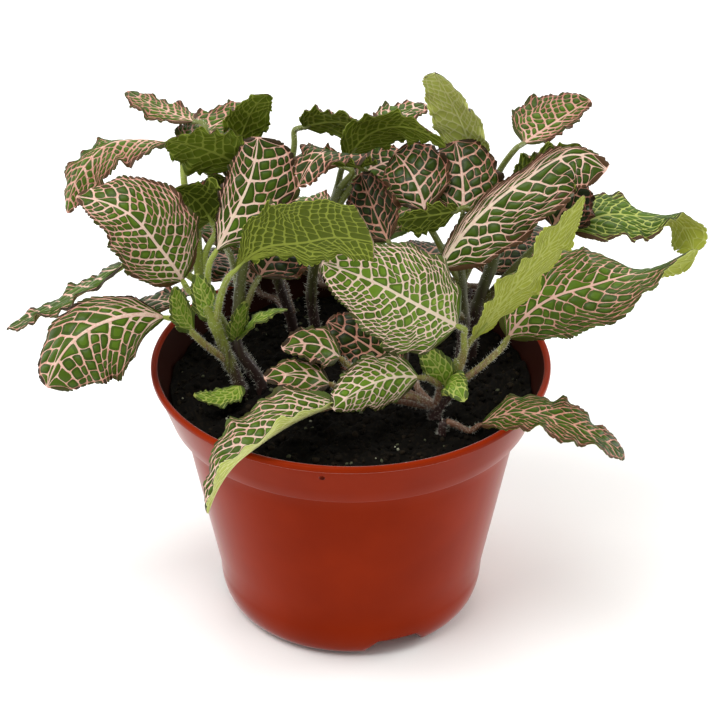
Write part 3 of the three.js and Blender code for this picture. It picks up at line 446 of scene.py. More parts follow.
stems = {
  "stem_left_front": {
    "radius": 1.7,
    "trunk": [[-33, -8], [-36, -8, 86], [-40, -8, 99], [-43, -8, 106]],
    "stalks": {
      "leaf_left_1": [[-40, -8, 99], [-43, -8, 106]],
      "leaf_left_2": [[-36, -8, 86], [-43, -11, 94]],
      "leaf_left_9": [[-40, -8, 99], [-38, -10, 110]],
      "leaf_left_8": [[-40, -8, 99], [-42, -6, 110]],
    },
    "young": ["young_left_1", "young_left_2", "young_left_3"],
  },
  "stem_left_back": {
    "radius": 1.6,
    "trunk": [[-30, 2], [-36, 0, 90], [-44, 2, 107], [-46, 7, 122], [-49, 13, 134]],
    "stalks": {
      "leaf_left_4": [[-46, 7, 122], [-49, 13, 134]],
      "leaf_left_3": [[-44, 2, 107], [-53, 1, 114]],
      "leaf_left_5": [[-36, 0, 90], [-42, 1, 97]],
      "leaf_left_6": [[-44, 2, 107], [-43, 5, 116]],
    },
    "young": [],
  },
  "stem_left_middle": {
    "radius": 1.5,
    "trunk": [[-27, -5], [-34, -5, 91], [-33, 1, 104], [-31, 3, 120], [-29, 9, 132]],
    "stalks": {
      "leaf_left_10": [[-34, -5, 91], [-31, -1, 101]],
      "leaf_left_7": [[-33, 1, 104], [-36, 14, 110]],
      "leaf_top_3": [[-31, 3, 120], [-29, 9, 132]],
    },
    "young": ["young_left_4", "young_left_5"],
  },
  "stem_left_far": {
    "radius": 1.5,
    "trunk": [[-18, 28], [-23, 28, 96], [-28, 27, 120]],
    "stalks": {
      "leaf_top_1": [[-28, 27, 120], [-36, 16, 136], [-41, 13, 147]],
      "leaf_top_2": [[-28, 27, 120], [-42, 18, 136]],
      "leaf_top_4": [[-28, 27, 120], [-31, 24, 134]],
      "leaf_top_5": [[-23, 28, 96], [-20, 32, 120], [-17, 36, 136]],
      "leaf_back_4": [[-18, 28, 82], [-22, 31, 94]],
      "leaf_back_8": [[-18, 28, 79], [-23, 36, 82]],
    },
    "young": [],
  },
  "stem_middle": {
    "radius": 1.5,
    "trunk": [[-10, 18], [-12, 17, 95], [-9, 15, 115], [-3, 16, 132]],
    "stalks": {
      "leaf_top_7": [[-9, 15, 115], [-1, 15, 131]],
      "leaf_top_8": [[-9, 15, 115], [-3, 16, 132]],
      "leaf_top_6": [[-9, 15, 115], [-4, 24, 128]],
      "leaf_middle_1": [[-9, 15, 115], [-1, 18, 131]],
    },
    "young": [],
  },
  "stem_right_front": {
    "radius": 1.8,
    "trunk": [[25, -22], [29, -22, 85], [32, -20, 94]],
    "stalks": {
      "leaf_right_3": [[29, -22, 85], [32, -20, 94]],
      "leaf_middle_6": [[29, -22, 85], [33, -21, 96], [33, -22, 104]],
      "leaf_right_5": [[29, -22, 85], [39, -19, 92]],
      "leaf_front_2": [[25, -22, 79], [26, -25, 88]],
      "leaf_front_1": [[25, -22, 79], [16, -30, 88], [5, -33, 89]],
      "leaf_middle_7": [[25, -22, 79], [20, -17, 82]],
      "leaf_front_4": [[25, -22, 79], [12, -20, 86]],
      "leaf_front_5": [[25, -22, 79], [10, -25, 84]],
    },
    "young": ["young_right_1", "young_right_2"],
  },
  "stem_right_middle": {
    "radius": 1.6,
    "trunk": [[33, 5], [34, 7, 92], [33, 7, 104], [32, 8, 118]],
    "stalks": {
      "leaf_right_1": [[34, 7, 92], [28, -2, 104]],
      "leaf_middle_2": [[32, 8, 118], [33, 5, 124]],
      "leaf_middle_4": [[33, 7, 104], [25, 4, 122]],
      "leaf_middle_3": [[33, 7, 104], [39, 12, 118], [36, 6, 127]],
      "leaf_middle_5": [[34, 7, 92], [20, -2, 110]],
    },
    "young": [],
  },
  "stem_right_back": {
    "radius": 1.7,
    "trunk": [[36.5, 14], [38, 14, 92], [42, 14, 106], [47, 22, 120]],
    "stalks": {
      "leaf_right_2": [[38, 14, 92], [53, 12, 112]],
      "leaf_right_6": [[42, 14, 106], [43, 31, 125]],
      "leaf_right_7": [[42, 14, 106], [47, 22, 120], [50, 36, 119]],
      "leaf_top_9": [[42, 14, 106], [43, 26, 120]],
      "leaf_right_4": [[38, 14, 92], [55, 11, 111]],
    },
    "young": [],
  },
  "stem_far": {
    "radius": 1.5,
    "trunk": [[4, 36], [2, 38, 95], [2, 38, 128]],
    "stalks": {
      "leaf_top_10": [[2, 38, 95], [2, 38, 128]],
      "leaf_back_1": [[4, 36, 82], [-2, 38, 94]],
      "leaf_back_2": [[4, 36, 82], [3, 38, 92]],
      "leaf_back_5": [[4, 36, 79], [-6, 41, 84]],
      "leaf_back_6": [[4, 36, 79], [14, 41, 84]],
    },
    "young": [],
  },
  "stem_right_far": {
    "radius": 1.4,
    "trunk": [[34, 28], [36, 30, 90]],
    "stalks": {
      "leaf_back_3": [[34, 28, 79], [36, 30, 90]],
      "leaf_back_7": [[34, 28, 79], [44, 28, 82]],
    },
    "young": [],
  },
  "stem_right_low": {
    "radius": 1.2,
    "trunk": [[27, -30], [28, -30, 79]],
    "stalks": {
      "leaf_front_3": [[28, -30, 79], [31, -29.5, 77.5]],
    },
    "young": [],
  },
}


plainHalves = {"fold": [0.1, 0.1], "roll": [-0.3, -0.3], "share": [1, 1], "broadest": 0.4, "blunt": 0.25}
# Heights on a blade in millimetres. "lobe" and "fineShare" are shares and "fullness" a power; waves are
# radians from base to tip, and a shift puts the right half out of step with the left.
bladeShape = {
    "fullness": 0.8, "thickness": 0.3, "veinDepth": 0.12, "keel": 0.55,
    "lobe": 0.045, "lobeWaves": 24, "lobeShift": 1.3,
    "ripple": 1.2, "rippleWaves": 17, "rippleShift": 2.4,
    "frill": 0.9, "frillWaves": 38, "fineWaves": 61, "fineShare": 0.6, "frillShift": 1.9,
    "grownWidth": 20,  # narrower leaves are flatter
}


# The midrib: a smooth curve through a leaf's points, timed by the distance between them
def midribAt(points, t):
    points = np.array(points, float)
    knots = np.concatenate(([0], np.cumsum(np.linalg.norm(np.diff(points, axis=0), axis=1))))
    spans = np.diff(knots)[:, None]
    steps = np.diff(points, axis=0) / spans
    slopes = np.zeros_like(points)
    slopes[1:-1] = (steps[1:] * spans[:-1] + steps[:-1] * spans[1:]) / (spans[:-1] + spans[1:])
    slopes[0] = 2 * steps[0] - slopes[1]
    slopes[-1] = 2 * steps[-1] - slopes[-2]
    along = np.asarray(t, float) * knots[-1]
    i = np.searchsorted(knots[1:-1], along)
    span = spans[i]
    u = ((along - knots[i]) / span[:, 0])[:, None]
    place = points[i] * (2 * u ** 3 - 3 * u ** 2 + 1) + slopes[i] * (u ** 3 - 2 * u ** 2 + u) * span
    return place + points[i + 1] * (-2 * u ** 3 + 3 * u ** 2) + slopes[i + 1] * (u ** 3 - u ** 2) * span


def midribLength(points):
    return float(np.linalg.norm(np.diff(np.array(points, float), axis=0), axis=1).sum())


def leafOutline(leaf, t):
    power = math.log(0.5) / math.log(leaf["broadest"])
    t = np.clip(t, 0, 1)
    return np.clip(np.sin(math.pi * t ** power), 1e-9, 1) ** (bladeShape["fullness"] - leaf["blunt"] * t)


def unit(v):
    return v / np.linalg.norm(v, axis=1, keepdims=True)


# Points of the blade: t runs from base to tip, s from the left margin (-1) to the right (1), 0 on the midrib
def bladeAt(leaf, t, s):
    t = np.clip(t, 0, 1)
    shape = bladeShape
    step = 0.004
    spine = leaf["spine"]
    forward = unit(midribAt(spine, np.minimum(t + step, 1)) - midribAt(spine, np.maximum(t - step, 0)))
    faces = np.array(leaf["face"], float)
    at = t * (len(faces) - 1)
    i = np.minimum(at.astype(int), len(faces) - 2)
    facing = faces[i] + (faces[i + 1] - faces[i]) * (at - i)[:, None]
    up = unit(facing - forward * (facing * forward).sum(axis=1, keepdims=True))
    sideways = np.cross(forward, up)
    left = s < 0
    pick = lambda pair: np.where(left, pair[0], pair[1])
    half = leaf["width"] / 2 * leafOutline(leaf, t) * pick(leaf["share"])
    fold = pick(leaf["fold"])
    roll = pick(leaf["roll"])
    nearlyFlat = 0.01
    bend = np.where(np.abs(roll) < nearlyFlat, nearlyFlat, roll)
    out = np.abs(s)
    lobeTurn = leaf["phase"] * 5 + np.where(left, 0, shape["lobeShift"])
    lobes = 1 + shape["lobe"] * out ** 4 * np.sin(t * shape["lobeWaves"] + lobeTurn)
    across = lobes * half * (np.sin(fold + bend * out) - np.sin(fold)) / bend
    lift = half * (np.cos(fold) - np.cos(fold + bend * out)) / bend
    swell = np.sin(math.pi * t)
    grown = min(1, leaf["width"] / shape["grownWidth"])
    rippleTurn = leaf["phase"] + np.where(left, 0, shape["rippleShift"])
    ripple = grown * shape["ripple"] * out ** 2 * swell * np.sin(t * shape["rippleWaves"] + rippleTurn)
    turn = leaf["phase"] * 3 + np.where(left, 0, shape["frillShift"])
    fine = np.sin(t * shape["frillWaves"] + turn)
    fine = fine + shape["fineShare"] * np.sin(t * shape["fineWaves"] + turn * 2)
    frill = grown * shape["frill"] * out ** 3 * swell * fine  # finer waves at the margin
    place = midribAt(spine, t) + sideways * np.where(left, -across, across)[:, None]
    return place + up * (lift + ripple + frill)[:, None]


def bladeNormal(leaf, t, s):
    nudge, aside = 0.01, 0.1
    near = np.clip(t, nudge, 1 - nudge)
    s = np.clip(s, -1, 1) * (1 - aside)
    onward = bladeAt(leaf, near + nudge, s) - bladeAt(leaf, near - nudge, s)
    over = bladeAt(leaf, near, s + aside) - bladeAt(leaf, near, s - aside)
    return unit(np.cross(over, onward))


# The corners moved in from each edge by its width, and rounded
def insidePoints(corners, widths):
    sharpTurn, farthest, smallest, rounding = 0.3, 2.2, 0.25, 0.2
    edge = np.roll(corners, -1, axis=0) - corners
    edge /= np.maximum(np.linalg.norm(edge, axis=1, keepdims=True), 1e-6)
    inward = np.stack([-edge[:, 1], edge[:, 0]], axis=1)
    before, after = np.roll(inward, 1, axis=0), inward
    wb, wa = np.roll(widths, 1), widths
    cross = before[:, 0] * after[:, 1] - before[:, 1] * after[:, 0]
    mean = (before + after) / 2
    size = np.maximum((mean ** 2).sum(axis=1), 0.25)
    moved = mean * ((wb + wa) / 2 / size)[:, None]
    sharp = np.abs(cross) > sharpTurn
    solved = np.stack([wb * after[:, 1] - wa * before[:, 1], wa * before[:, 0] - wb * after[:, 0]], axis=1)
    moved[sharp] = solved[sharp] / cross[sharp][:, None]
    reach = np.linalg.norm(moved, axis=1)
    most = farthest * np.maximum(wb, wa)
    moved *= (np.minimum(reach, most) / np.maximum(reach, 1e-9))[:, None]
    centre = corners.mean(axis=0)
    inner = corners + moved
    # Where a cell is too small for its veins, keep a small patch at its middle
    away = np.linalg.norm(corners - centre, axis=1)
    left = ((inner - centre) * (corners - centre)).sum(axis=1) / np.maximum(away ** 2, 1e-9)
    short = left < smallest
    inner[short] = centre + (corners - centre)[short] * smallest
    beside = np.roll(inner, 1, axis=0) + np.roll(inner, -1, axis=0)
    return inner * (1 - 2 * rounding) + beside * rounding


# Sizes of the net in millimetres. "fewest" and "most" count the spaces between side veins; "stray", "wander"
# and "midribTaper" are shares of the spacing, of a wave's length and of the midrib's width.
netSizes = {
    "sideSpacing": 3.8, "fewest": 4, "most": 13, "stray": 0.22,
    "marginBand": 1.1, "midrib": 0.5, "midribFullWidth": 26, "midribTaper": 0.72,
    "waves": (9.0, 5.0, 3.2), "wander": 0.034,
    "joined": 0.4, "crossPiece": 1.3, "sidePiece": 1.4,
    "innerCell": 2.5, "outerCell": 2.1,
    "tooth": 2.2, "toothDepth": 0.55, "toothFullWidth": 18,
}
# Where the room between two side veins is measured, from midrib (0) to margin (1), and how many millimetres
# let a vein fork off between them; more in a coarser net
forkSizes = {"early": (0.14, 0.28, 0.42), "late": 0.8, "earlyRoom": 4.4, "lateRoom": 3.3}
# Half widths of veins in millimetres at the midrib, and what is lost of them by the margin; the outermost
# cross vein is broader by a factor
veinWidths = {
    "side": 0.24, "sideTaper": 0.14, "fork": 0.075, "cross": 0.078, "crossTaper": 0.026,
    "margin": 0.055, "edge": 0.03, "root": 0.04, "outermost": 1.3,
}


# The net of one half of a blade. Lines run from midrib to margin: k counts them from base (0) to tip (1), and
# u runs from the midrib (0) to the margin (1). Even lines are side veins, and odd ones fork off between them.
class HalfNet:
    def __init__(self, leaf, look, side, rng):
        self.leaf, self.look, self.side, self.rng = leaf, look, side, rng
        self.length = midribLength(leaf["spine"])
        self.reach = leaf["width"] / 2 * leaf["share"][0 if side < 0 else 1]
        sizes = netSizes
        grown = min(1.2, leaf["width"] / sizes["midribFullWidth"])
        self.midWidth = sizes["midrib"] * grown * look["vein"] ** 0.5
        spaces = round(self.length / sizes["sideSpacing"] / look["mesh"])
        self.count = int(np.clip(spaces, sizes["fewest"], sizes["most"]))
        stray = sizes["stray"]
        uneven = [rng.uniform(-stray, stray) if 0 < j < self.count else 0 for j in range(self.count + 1)]
        steps = [(j + off) / self.count for j, off in enumerate(uneven)]
        self.waves = rng.uniform(0, 2 * math.pi, (3, 3))
        self.k = {2 * j: k for j, k in enumerate(steps)}
        self.k.update({2 * j + 1: (a + b) / 2 for j, (a, b) in enumerate(zip(steps, steps[1:]))})
        self.nodes = {line: [] for line in self.k}
        self.band = float(np.clip(1 - sizes["marginBand"] / max(self.reach, 1), 0.6, 0.92))
        self.polygons = []
        self.inner = []

    def place(self, k, u):
        m, e = k ** 1.4, k ** 0.6
        t = m + (e - m) * (0.6 * u + 0.4 * u * u)
        half = self.reach * float(leafOutline(self.leaf, t))
        mid = min(self.midWidth * (1 - netSizes["midribTaper"] * t), 0.4 * half)
        x, y = self.length * t, mid + u * (half - mid)
        eased = max(0.0, min(1.0, 4 * u, 4 * (1 - u))) * min(1.0, half / 9)
        return np.array([x, y]) + self.wander(x, y) * eased

    # How far the net strays from a regular one: three waves, each in its own direction
    def wander(self, x, y):
        stray = [0.0, 0.0]
        for size, (turn, first, second) in zip(netSizes["waves"], self.waves):
            along = 2 * math.pi / size * (x * math.cos(turn) + y * math.sin(turn))
            stray[0] += netSizes["wander"] * size * math.sin(along + first)
            stray[1] += netSizes["wander"] * size * math.sin(along + second)
        return np.array(stray)

    def spacing(self, line, a, b):
        return float(np.linalg.norm(self.place(self.k[line], a) - self.place(self.k[line], b)))

    # A point on a line, moved onto one that is already there if that is close
    def pin(self, line, u):
        for other in self.nodes[line]:
            if self.spacing(line, other, u) < netSizes["joined"]:
                return other
        self.nodes[line].append(u)
        return u

    # A cross vein as points (k, u) between two lines
    def crossVein(self, a, b, ua, ub, wander=0.0):
        ua, ub = self.pin(a, ua), self.pin(b, ub)
        ka, kb = self.k[a], self.k[b]
        apart = np.linalg.norm(self.place(ka, ua) - self.place(kb, ub))
        pieces = max(1, int(math.ceil(apart / netSizes["crossPiece"])))
        shift = self.rng.uniform(-wander, wander) / max(self.reach, 1)
        inner = []
        for i in range(1, pieces):
            f = i / pieces
            inner.append((ka + (kb - ka) * f, ua + (ub - ua) * f + shift * math.sin(math.pi * f)))
        return [(ka, ua)] + inner + [(kb, ub)]

    def build(self):
        rng, sizes, forks = self.rng, netSizes, forkSizes
        cells = []  # each cell is a line pair with its lower and upper cross veins
        last = self.count - 1
        for j in range(self.count):
            a, m, b = 2 * j, 2 * j + 1, 2 * j + 2
            middle = self.k[m]
            reach = float(np.linalg.norm(self.place(middle, self.band) - self.place(middle, 0)))
            size = self.look["mesh"] * (1.06 - 0.2 * middle)
            room = lambda u: float(np.linalg.norm(self.place(self.k[a], u) - self.place(self.k[b], u)))
            wide = room(forks["late"])
            split = self.band
            if reach > 2.5:  # a vein forks off where the room between two side veins gets wide
                lateRoom, earlyRoom = forks["lateRoom"] * size, forks["earlyRoom"] * size
                late = split * rng.uniform(0.5, 0.68) if reach > 3.5 and wide > lateRoom else split
                early = (u * rng.uniform(0.9, 1.1) for u in forks["early"] if room(u) > earlyRoom)
                split = next(early, late)
            slant = min(0.2, 0.5 * wide / max(self.reach, 1)) * (0 if j in (0, last) else 1)
            count = max(1, int(round(reach * split / self.band / (sizes["innerCell"] * size))))
            veins = [self.crossVein(a, b, 0.0, 0.0)]
            self.inner += [self.place(k, u) for k, u in veins[0]]
            for i in range(1, count):
                u = split * (i + rng.uniform(-0.2, 0.2)) / count
                ends = min(u + slant / 2, split - 0.02), max(u - slant / 2, 0.02)
                veins.append(self.crossVein(a, b, *ends, 0.5))
            cells += [(a, b, veins[i], veins[i + 1], "inner") for i in range(count - 1)]
            if split < self.band:
                first = self.crossVein(a, m, min(split + slant / 2, self.band - 0.05), split, 0.2)
                second = self.crossVein(m, b, first[-1][1], max(split - slant / 2, 0.05), 0.2)
                cells.append((a, b, veins[-1], first + second[1:], "inner"))
                parts = [(a, m, first), (m, b, second)]
            else:
                parts = [(a, b, veins[-1])]
            for lower, upper, start in parts:
                begin = max(start[0][1], start[-1][1])
                left = reach * (self.band - begin) / self.band
                number = max(1, int(round(left / (sizes["outerCell"] * size))))
                previous = start
                for i in range(1, number):
                    u = begin + (self.band - begin) * (i + rng.uniform(-0.15, 0.15)) / number
                    vein = self.crossVein(lower, upper, u, u, 0.3)
                    if vein[0][1] <= previous[0][1] or vein[-1][1] <= previous[-1][1]:
                        continue
                    cells.append((lower, upper, previous, vein, "outer"))
                    previous = vein
                arc = self.crossVein(lower, upper, self.band, self.band)
                cells.append((lower, upper, previous, arc, "outer"))
                self.marginCells(lower, upper, arc, cells)
        for line, us in self.nodes.items():
            us.sort()
            for low, high in list(zip(us, us[1:])):
                gap = self.spacing(line, low, high)
                extra = int(gap / sizes["sidePiece"])
                us += [low + (high - low) * i / (extra + 1) for i in range(1, extra + 1)]
            us.sort()
        for lower, upper, start, end, kind in cells:
            self.addPolygon(lower, upper, start, end, kind)

    # Between the outermost vein and the edge: blunt teeth, one or two to a cell
    def marginCells(self, lower, upper, arc, cells):
        ka, kb = self.k[lower], self.k[upper]
        self.pin(lower, 1.0)
        self.pin(upper, 1.0)
        span = np.linalg.norm(self.place(ka, 1) - self.place(kb, 1))
        sizes = netSizes
        teeth = max(1, int(round(span / sizes["tooth"])))
        deepest = sizes["toothDepth"] * min(1, self.leaf["width"] / sizes["toothFullWidth"])
        edge = [(ka, 1.0)]
        for i in range(teeth):
            for f, out in ((0.3, 0.8), (0.75, 1.0), (1.0, 0.0)):
                depth = deepest * out * self.rng.uniform(0.6, 1.15)
                edge.append((ka + (kb - ka) * (i + f) / teeth, 1.0 + depth / max(self.reach, 3)))
        edge[-1] = (kb, 1.0)
        cells.append((lower, upper, arc, edge, "margin"))

    def lineBetween(self, line, low, high):
        k = self.k[line]
        inside = [u for u in self.nodes[line] if min(low, high) <= u <= max(low, high)]
        return [(k, u) for u in (inside if low <= high else inside[::-1])]

    def addPolygon(self, lower, upper, start, end, kind):
        width, breadths = self.look["vein"], veinWidths
        thin = breadths["margin"] * width
        cross = lambda u: (breadths["cross"] - breadths["crossTaper"] * u) * width
        side = lambda u: (breadths["side"] - breadths["sideTaper"] * u) * width
        main = lambda line, u: side(u) if line % 2 == 0 else breadths["fork"] * width
        outermost = lambda u: cross(u) * (breadths["outermost"] if u > self.band - 0.01 else 1)
        points, widths = [], []
        def add(chain, widthOf):
            for p, q in zip(chain, chain[1:]):
                points.append(p)
                widths.append(widthOf((p[1] + q[1]) / 2))
        sideOf = lambda line: (lambda u: thin if kind == "margin" else main(line, u))
        add(self.lineBetween(lower, start[0][1], end[0][1]), sideOf(lower))
        add(end, lambda u: breadths["edge"] if kind == "margin" else outermost(u))
        add(self.lineBetween(upper, end[-1][1], start[-1][1]), sideOf(upper))
        add(start[::-1], lambda u: breadths["root"] if u < 0.001 else cross(u))
        corners = np.array([self.place(k, u) for k, u in points])
        if kind == "margin":  # the teeth stand straight out from the edge
            for i, (k, u) in enumerate(points):
                if u > 1.0001:
                    corners[i] = self.place(k, 1.0) + [0.3 * (u - 1) * self.reach, (u - 1) * self.reach]
        keep = np.linalg.norm(corners - np.roll(corners, 1, axis=0), axis=1) > 0.02
        if keep.sum() < 3:
            return
        outer = [u >= 0.9999 for _, u in points]
        depth = np.mean([u for _, u in points])
        self.polygons.append((corners[keep], np.array(widths)[keep], kind, np.array(outer)[keep], depth))


# How cells rise: "dome", "marginDome", "shoulder" and "shoulderRise" are shares, the rest millimetres
cellShape = {
    "dome": 0.13, "lowest": 0.05, "highest": 0.3, "marginDome": 0.6, "shoulder": 0.42, "shoulderRise": 0.8,
    "underShoulder": 0.1, "underMiddle": 0.14, "veinTop": 0.02, "midribTop": 0.1,
}
# How freely shades are drawn: "cell" is a share of a look's range of greens, "vein" is in steps of the veins'
# scale. Beyond "brownFrom", from midrib (0) to margin (1), a share of the outer cells gets brown shoulders.
shadeDraw = {"cell": 0.25, "vein": 0.45, "brownFrom": 0.72, "brownShare": 0.15}


# A closed blade: domed cells between sunk veins above, with painted shade on their shoulders, raised veins
# below, and a toothed edge
def makeBlade(leaf, look, rng):
    halves = []
    for side in (-1, 1):
        net = HalfNet(leaf, look, side, rng)
        net.build()
        halves.append(net)
    flat, heights, index = [], [], {}
    faces, shades = [], []
    length = halves[0].length
    thickness, veinDepth = bladeShape["thickness"], bladeShape["veinDepth"]
    cell, draw = cellShape, shadeDraw

    def vertex(x, y, side, top, bottom):
        key = (round(x, 3), round(y, 3), side if y > 0.0005 else 0)
        if key not in index:
            index[key] = len(flat)
            flat.append((x, y * side))
            heights.append((top, bottom))
        return index[key]

    def free(x, y, side, top, bottom):
        flat.append((x, y * side))
        heights.append((top, bottom))
        return len(flat) - 1

    def veinShade(x, y, half, breadth):
        out = 0.62 * min(y / max(half, 1), 1) + 0.38 * x / length + (0.2 if breadth < 0.1 else -0.15)
        low, high = look["veins"]
        if low == limeVein:
            return veinScale[limeVein]
        out = min(max(out, 0), 1)
        pink = low + (high - low) * out ** 0.8 + rng.uniform(-draw["vein"], draw["vein"])
        return veinScale[int(np.clip(round(pink), 0, limeVein - 1))]

    under, underVein = look["under"]
    rims = []
    for net in halves:
        side = net.side
        for corners, widths, kind, outer, depth in net.polygons:
            area = signedArea(corners)
            if abs(area) < 0.02:
                continue
            if area < 0:
                corners, outer = corners[::-1], outer[::-1]
                widths = np.roll(widths[::-1], -1)
                area = -area
            inner = insidePoints(corners, widths)
            centre = inner.mean(axis=0)
            shoulder = inner + (centre - inner) * cell["shoulder"]
            rise = float(np.clip(cell["dome"] * math.sqrt(area), cell["lowest"], cell["highest"]))
            rise *= cell["marginDome"] if kind == "margin" else 1
            n = len(corners)
            lows = [-veinDepth if o else -thickness - veinDepth for o in outer]
            ring0 = [vertex(p[0], p[1], side, cell["veinTop"], bottom) for p, bottom in zip(corners, lows)]
            ring1 = [free(p[0], p[1], side, 0.0, -thickness) for p in inner]
            top, bottom = rise * cell["shoulderRise"], -thickness + cell["underShoulder"]
            ring2 = [free(p[0], p[1], side, top, bottom) for p in shoulder]
            middle = free(centre[0], centre[1], side, rise, -thickness + cell["underMiddle"])
            low, high = look["cells"]
            bright = (1 - depth) * 0.65 + 0.35 * (1 - centre[0] / length)
            bright += rng.uniform(-draw["cell"], draw["cell"])
            level = float(np.clip(low + (high - low) * bright, 0, palest))
            # Painted shade and highlight: a cell's shoulders take a darker green than its middle, standing in
            # for the shade and highlight of its dome. Margin cells are brown all over, and some outer cells
            # get brown shoulders.
            if kind == "margin":
                shoulderShadeAndBrown = middleHighlightAndBrown = edgeScale[look["edge"][int(rng.uniform() < 0.5)]]
            else:
                shoulderShadeAndBrown = cellScale[int(np.clip(round(level - 0.7), 0, palest))]
                middleHighlightAndBrown = cellScale[int(np.clip(round(level), 0, palest))]
                if kind == "outer" and depth > draw["brownFrom"] and rng.uniform() < draw["brownShare"]:
                    shoulderShadeAndBrown = edgeScale[look["edge"][0]]
            for i in range(n):
                j = (i + 1) % n
                shade = veinShade(corners[i][0], corners[i][1], net.reach, widths[i])
                if outer[i] and outer[j]:
                    shade = shoulderShadeAndBrown
                    rims.append((ring0[i], ring0[j], side))
                faces += [((ring0[i], ring0[j], ring1[j], ring1[i]), side),
                          ((ring1[i], ring1[j], ring2[j], ring2[i]), side),
                          ((ring2[i], ring2[j], middle), side)]
                shades += [(shade, underVein), (shoulderShadeAndBrown, under), (middleHighlightAndBrown, under)]
    # The midrib: a band between the halves' inner ends, with a keel below
    centres = sorted({round(p[0], 3) for net in halves for p in net.inner})
    for net in halves:
        ends = {round(p[0], 3): p[1] for p in net.inner}
        keel = {x: -thickness - bladeShape["keel"] * (1 - 0.7 * x / length) for x in centres}
        veinTop, veinFoot = cell["veinTop"], -thickness - veinDepth
        outerLine = [(x, vertex(x, ends[x], net.side, veinTop, veinFoot)) for x in sorted(ends)]
        innerLine = [(x, vertex(x, 0.0, net.side, cell["midribTop"], keel[x])) for x in centres]
        for triangle in zipLines(innerLine, outerLine):
            area = signedArea([(flat[v][0], abs(flat[v][1])) for v in triangle])
            if abs(area) > 1e-5:
                faces.append((triangle if area > 0 else triangle[::-1], net.side))
                shades.append((veinShade(flat[triangle[0]][0] * 0.8, 0, 1, 1), underVein))
    return closeBlade(leaf, flat, heights, faces, shades, rims)


def signedArea(points):
    p = np.array(points)
    q = np.roll(p, -1, axis=0)
    return 0.5 * float(np.sum(p[:, 0] * q[:, 1] - q[:, 0] * p[:, 1]))


# Triangles between two rows of points, both sorted along the midrib
def zipLines(first, second):
    triangles = []
    i = j = 0
    while i < len(first) - 1 or j < len(second) - 1:
        if j == len(second) - 1 or (i < len(first) - 1 and first[i + 1][0] <= second[j + 1][0]):
            triangles.append((first[i][1], first[i + 1][1], second[j][1]))
            i += 1
        else:
            triangles.append((first[i][1], second[j + 1][1], second[j][1]))
            j += 1
    return triangles


def closeBlade(leaf, flat, heights, faces, shades, rims):
    flat, heights = np.array(flat), np.array(heights)
    t = flat[:, 0] / midribLength(leaf["spine"])
    outline = leaf["width"] / 2 * leafOutline(leaf, t)
    share = np.where(flat[:, 1] < 0, leaf["share"][0], leaf["share"][1])
    s = flat[:, 1] / np.maximum(outline * share, 0.02)
    s = np.clip(s, -1.3, 1.3)
    place = bladeAt(leaf, t, s)
    normal = bladeNormal(leaf, t, s)
    count = len(flat)
    corners = np.concatenate([place + normal * heights[:, :1], place + normal * heights[:, 1:]])
    allFaces, allShades = [], []
    for (face, side), (top, bottom) in zip(faces, shades):
        # The two halves mirror each other, so their faces run opposite ways round
        above = face[::-1] if side > 0 else face
        allFaces.append(tuple(above))
        allShades.append(top)
        allFaces.append(tuple(v + count for v in above[::-1]))
        allShades.append(bottom)
    for a, b, side in rims:
        rim = (a, b, b + count, a + count)
        allFaces.append(rim if side > 0 else rim[::-1])
        allShades.append("leaf_edge_olive")
    return corners, allFaces, allShades


# Makes one mesh object from lists of corners, faces and shade names; parts join before it is made
def addMesh(name, parts, materials):
    corners = np.concatenate([p[0] for p in parts]) * metre
    faces, shades, start = [], [], 0
    for points, partFaces, partShades in parts:
        faces += [tuple(v + start for v in face) for face in partFaces]
        shades += partShades
        start += len(points)
    mesh = bpy.data.meshes.new(name)
    mesh.from_pydata(corners.tolist(), [], faces)
    used = [m for m in materials if m in set(shades)]
    for m in used:
        mesh.materials.append(materials[m])
    slots = {m: i for i, m in enumerate(used)}
    mesh.polygons.foreach_set("material_index", [slots[m] for m in shades])
    mesh.shade_smooth()
    mesh.validate()
    obj = bpy.data.objects.new(name, mesh)
    bpy.context.scene.collection.objects.link(obj)
    return obj


# Leaves that share a way of looking; a leaf not named here looks green
lookOf = {
    "fresh": ("leaf_middle_6", "leaf_front_2"),
    "deep": ("leaf_left_8", "leaf_right_7"),
    "broad": ("leaf_right_1",),
    "tan": ("leaf_right_5", "leaf_back_2"),
    "rust": ("leaf_front_3", "leaf_back_4"),
    "pink": ("leaf_left_2", "leaf_left_3", "leaf_front_4", "leaf_front_5", "leaf_back_5"),
    "dusky": ("leaf_left_4", "leaf_top_1", "leaf_top_2", "leaf_right_6"),
    # Painted shade: the leaves below sit deep inside the plant and take the darker dim and shade looks
    "dim": ("leaf_middle_1", "leaf_middle_2", "leaf_middle_4", "leaf_top_7", "leaf_top_8", "leaf_left_5"),
    "shade": ("leaf_left_10", "leaf_middle_5", "leaf_middle_7", "leaf_right_2", "leaf_left_6", "leaf_left_7",
              "leaf_middle_3", "leaf_back_8", "leaf_back_6", "leaf_back_3"),
    "bright": ("leaf_left_9",),
    "pale": ("leaf_right_3",),
    "lit": ("leaf_top_9", "leaf_front_1"),
    "olive": ("leaf_right_4",),
}
lookByLeaf = {name: look for look, names in lookOf.items() for name in names}

for number, (name, leaf) in enumerate({**leaves, **youngLeaves}.items()):
    leaf.update({**plainHalves, **leaf, "phase": number * 1.7})

for number, (name, leaf) in enumerate(leaves.items()):
    rng = np.random.default_rng(seed + number)
    look = looks[lookByLeaf.get(name, "green")]
    blade = addMesh(name + "_blade", [makeBlade(leaf, look, rng)], leafMaterials)
    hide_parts(name)
    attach(blade, "root")


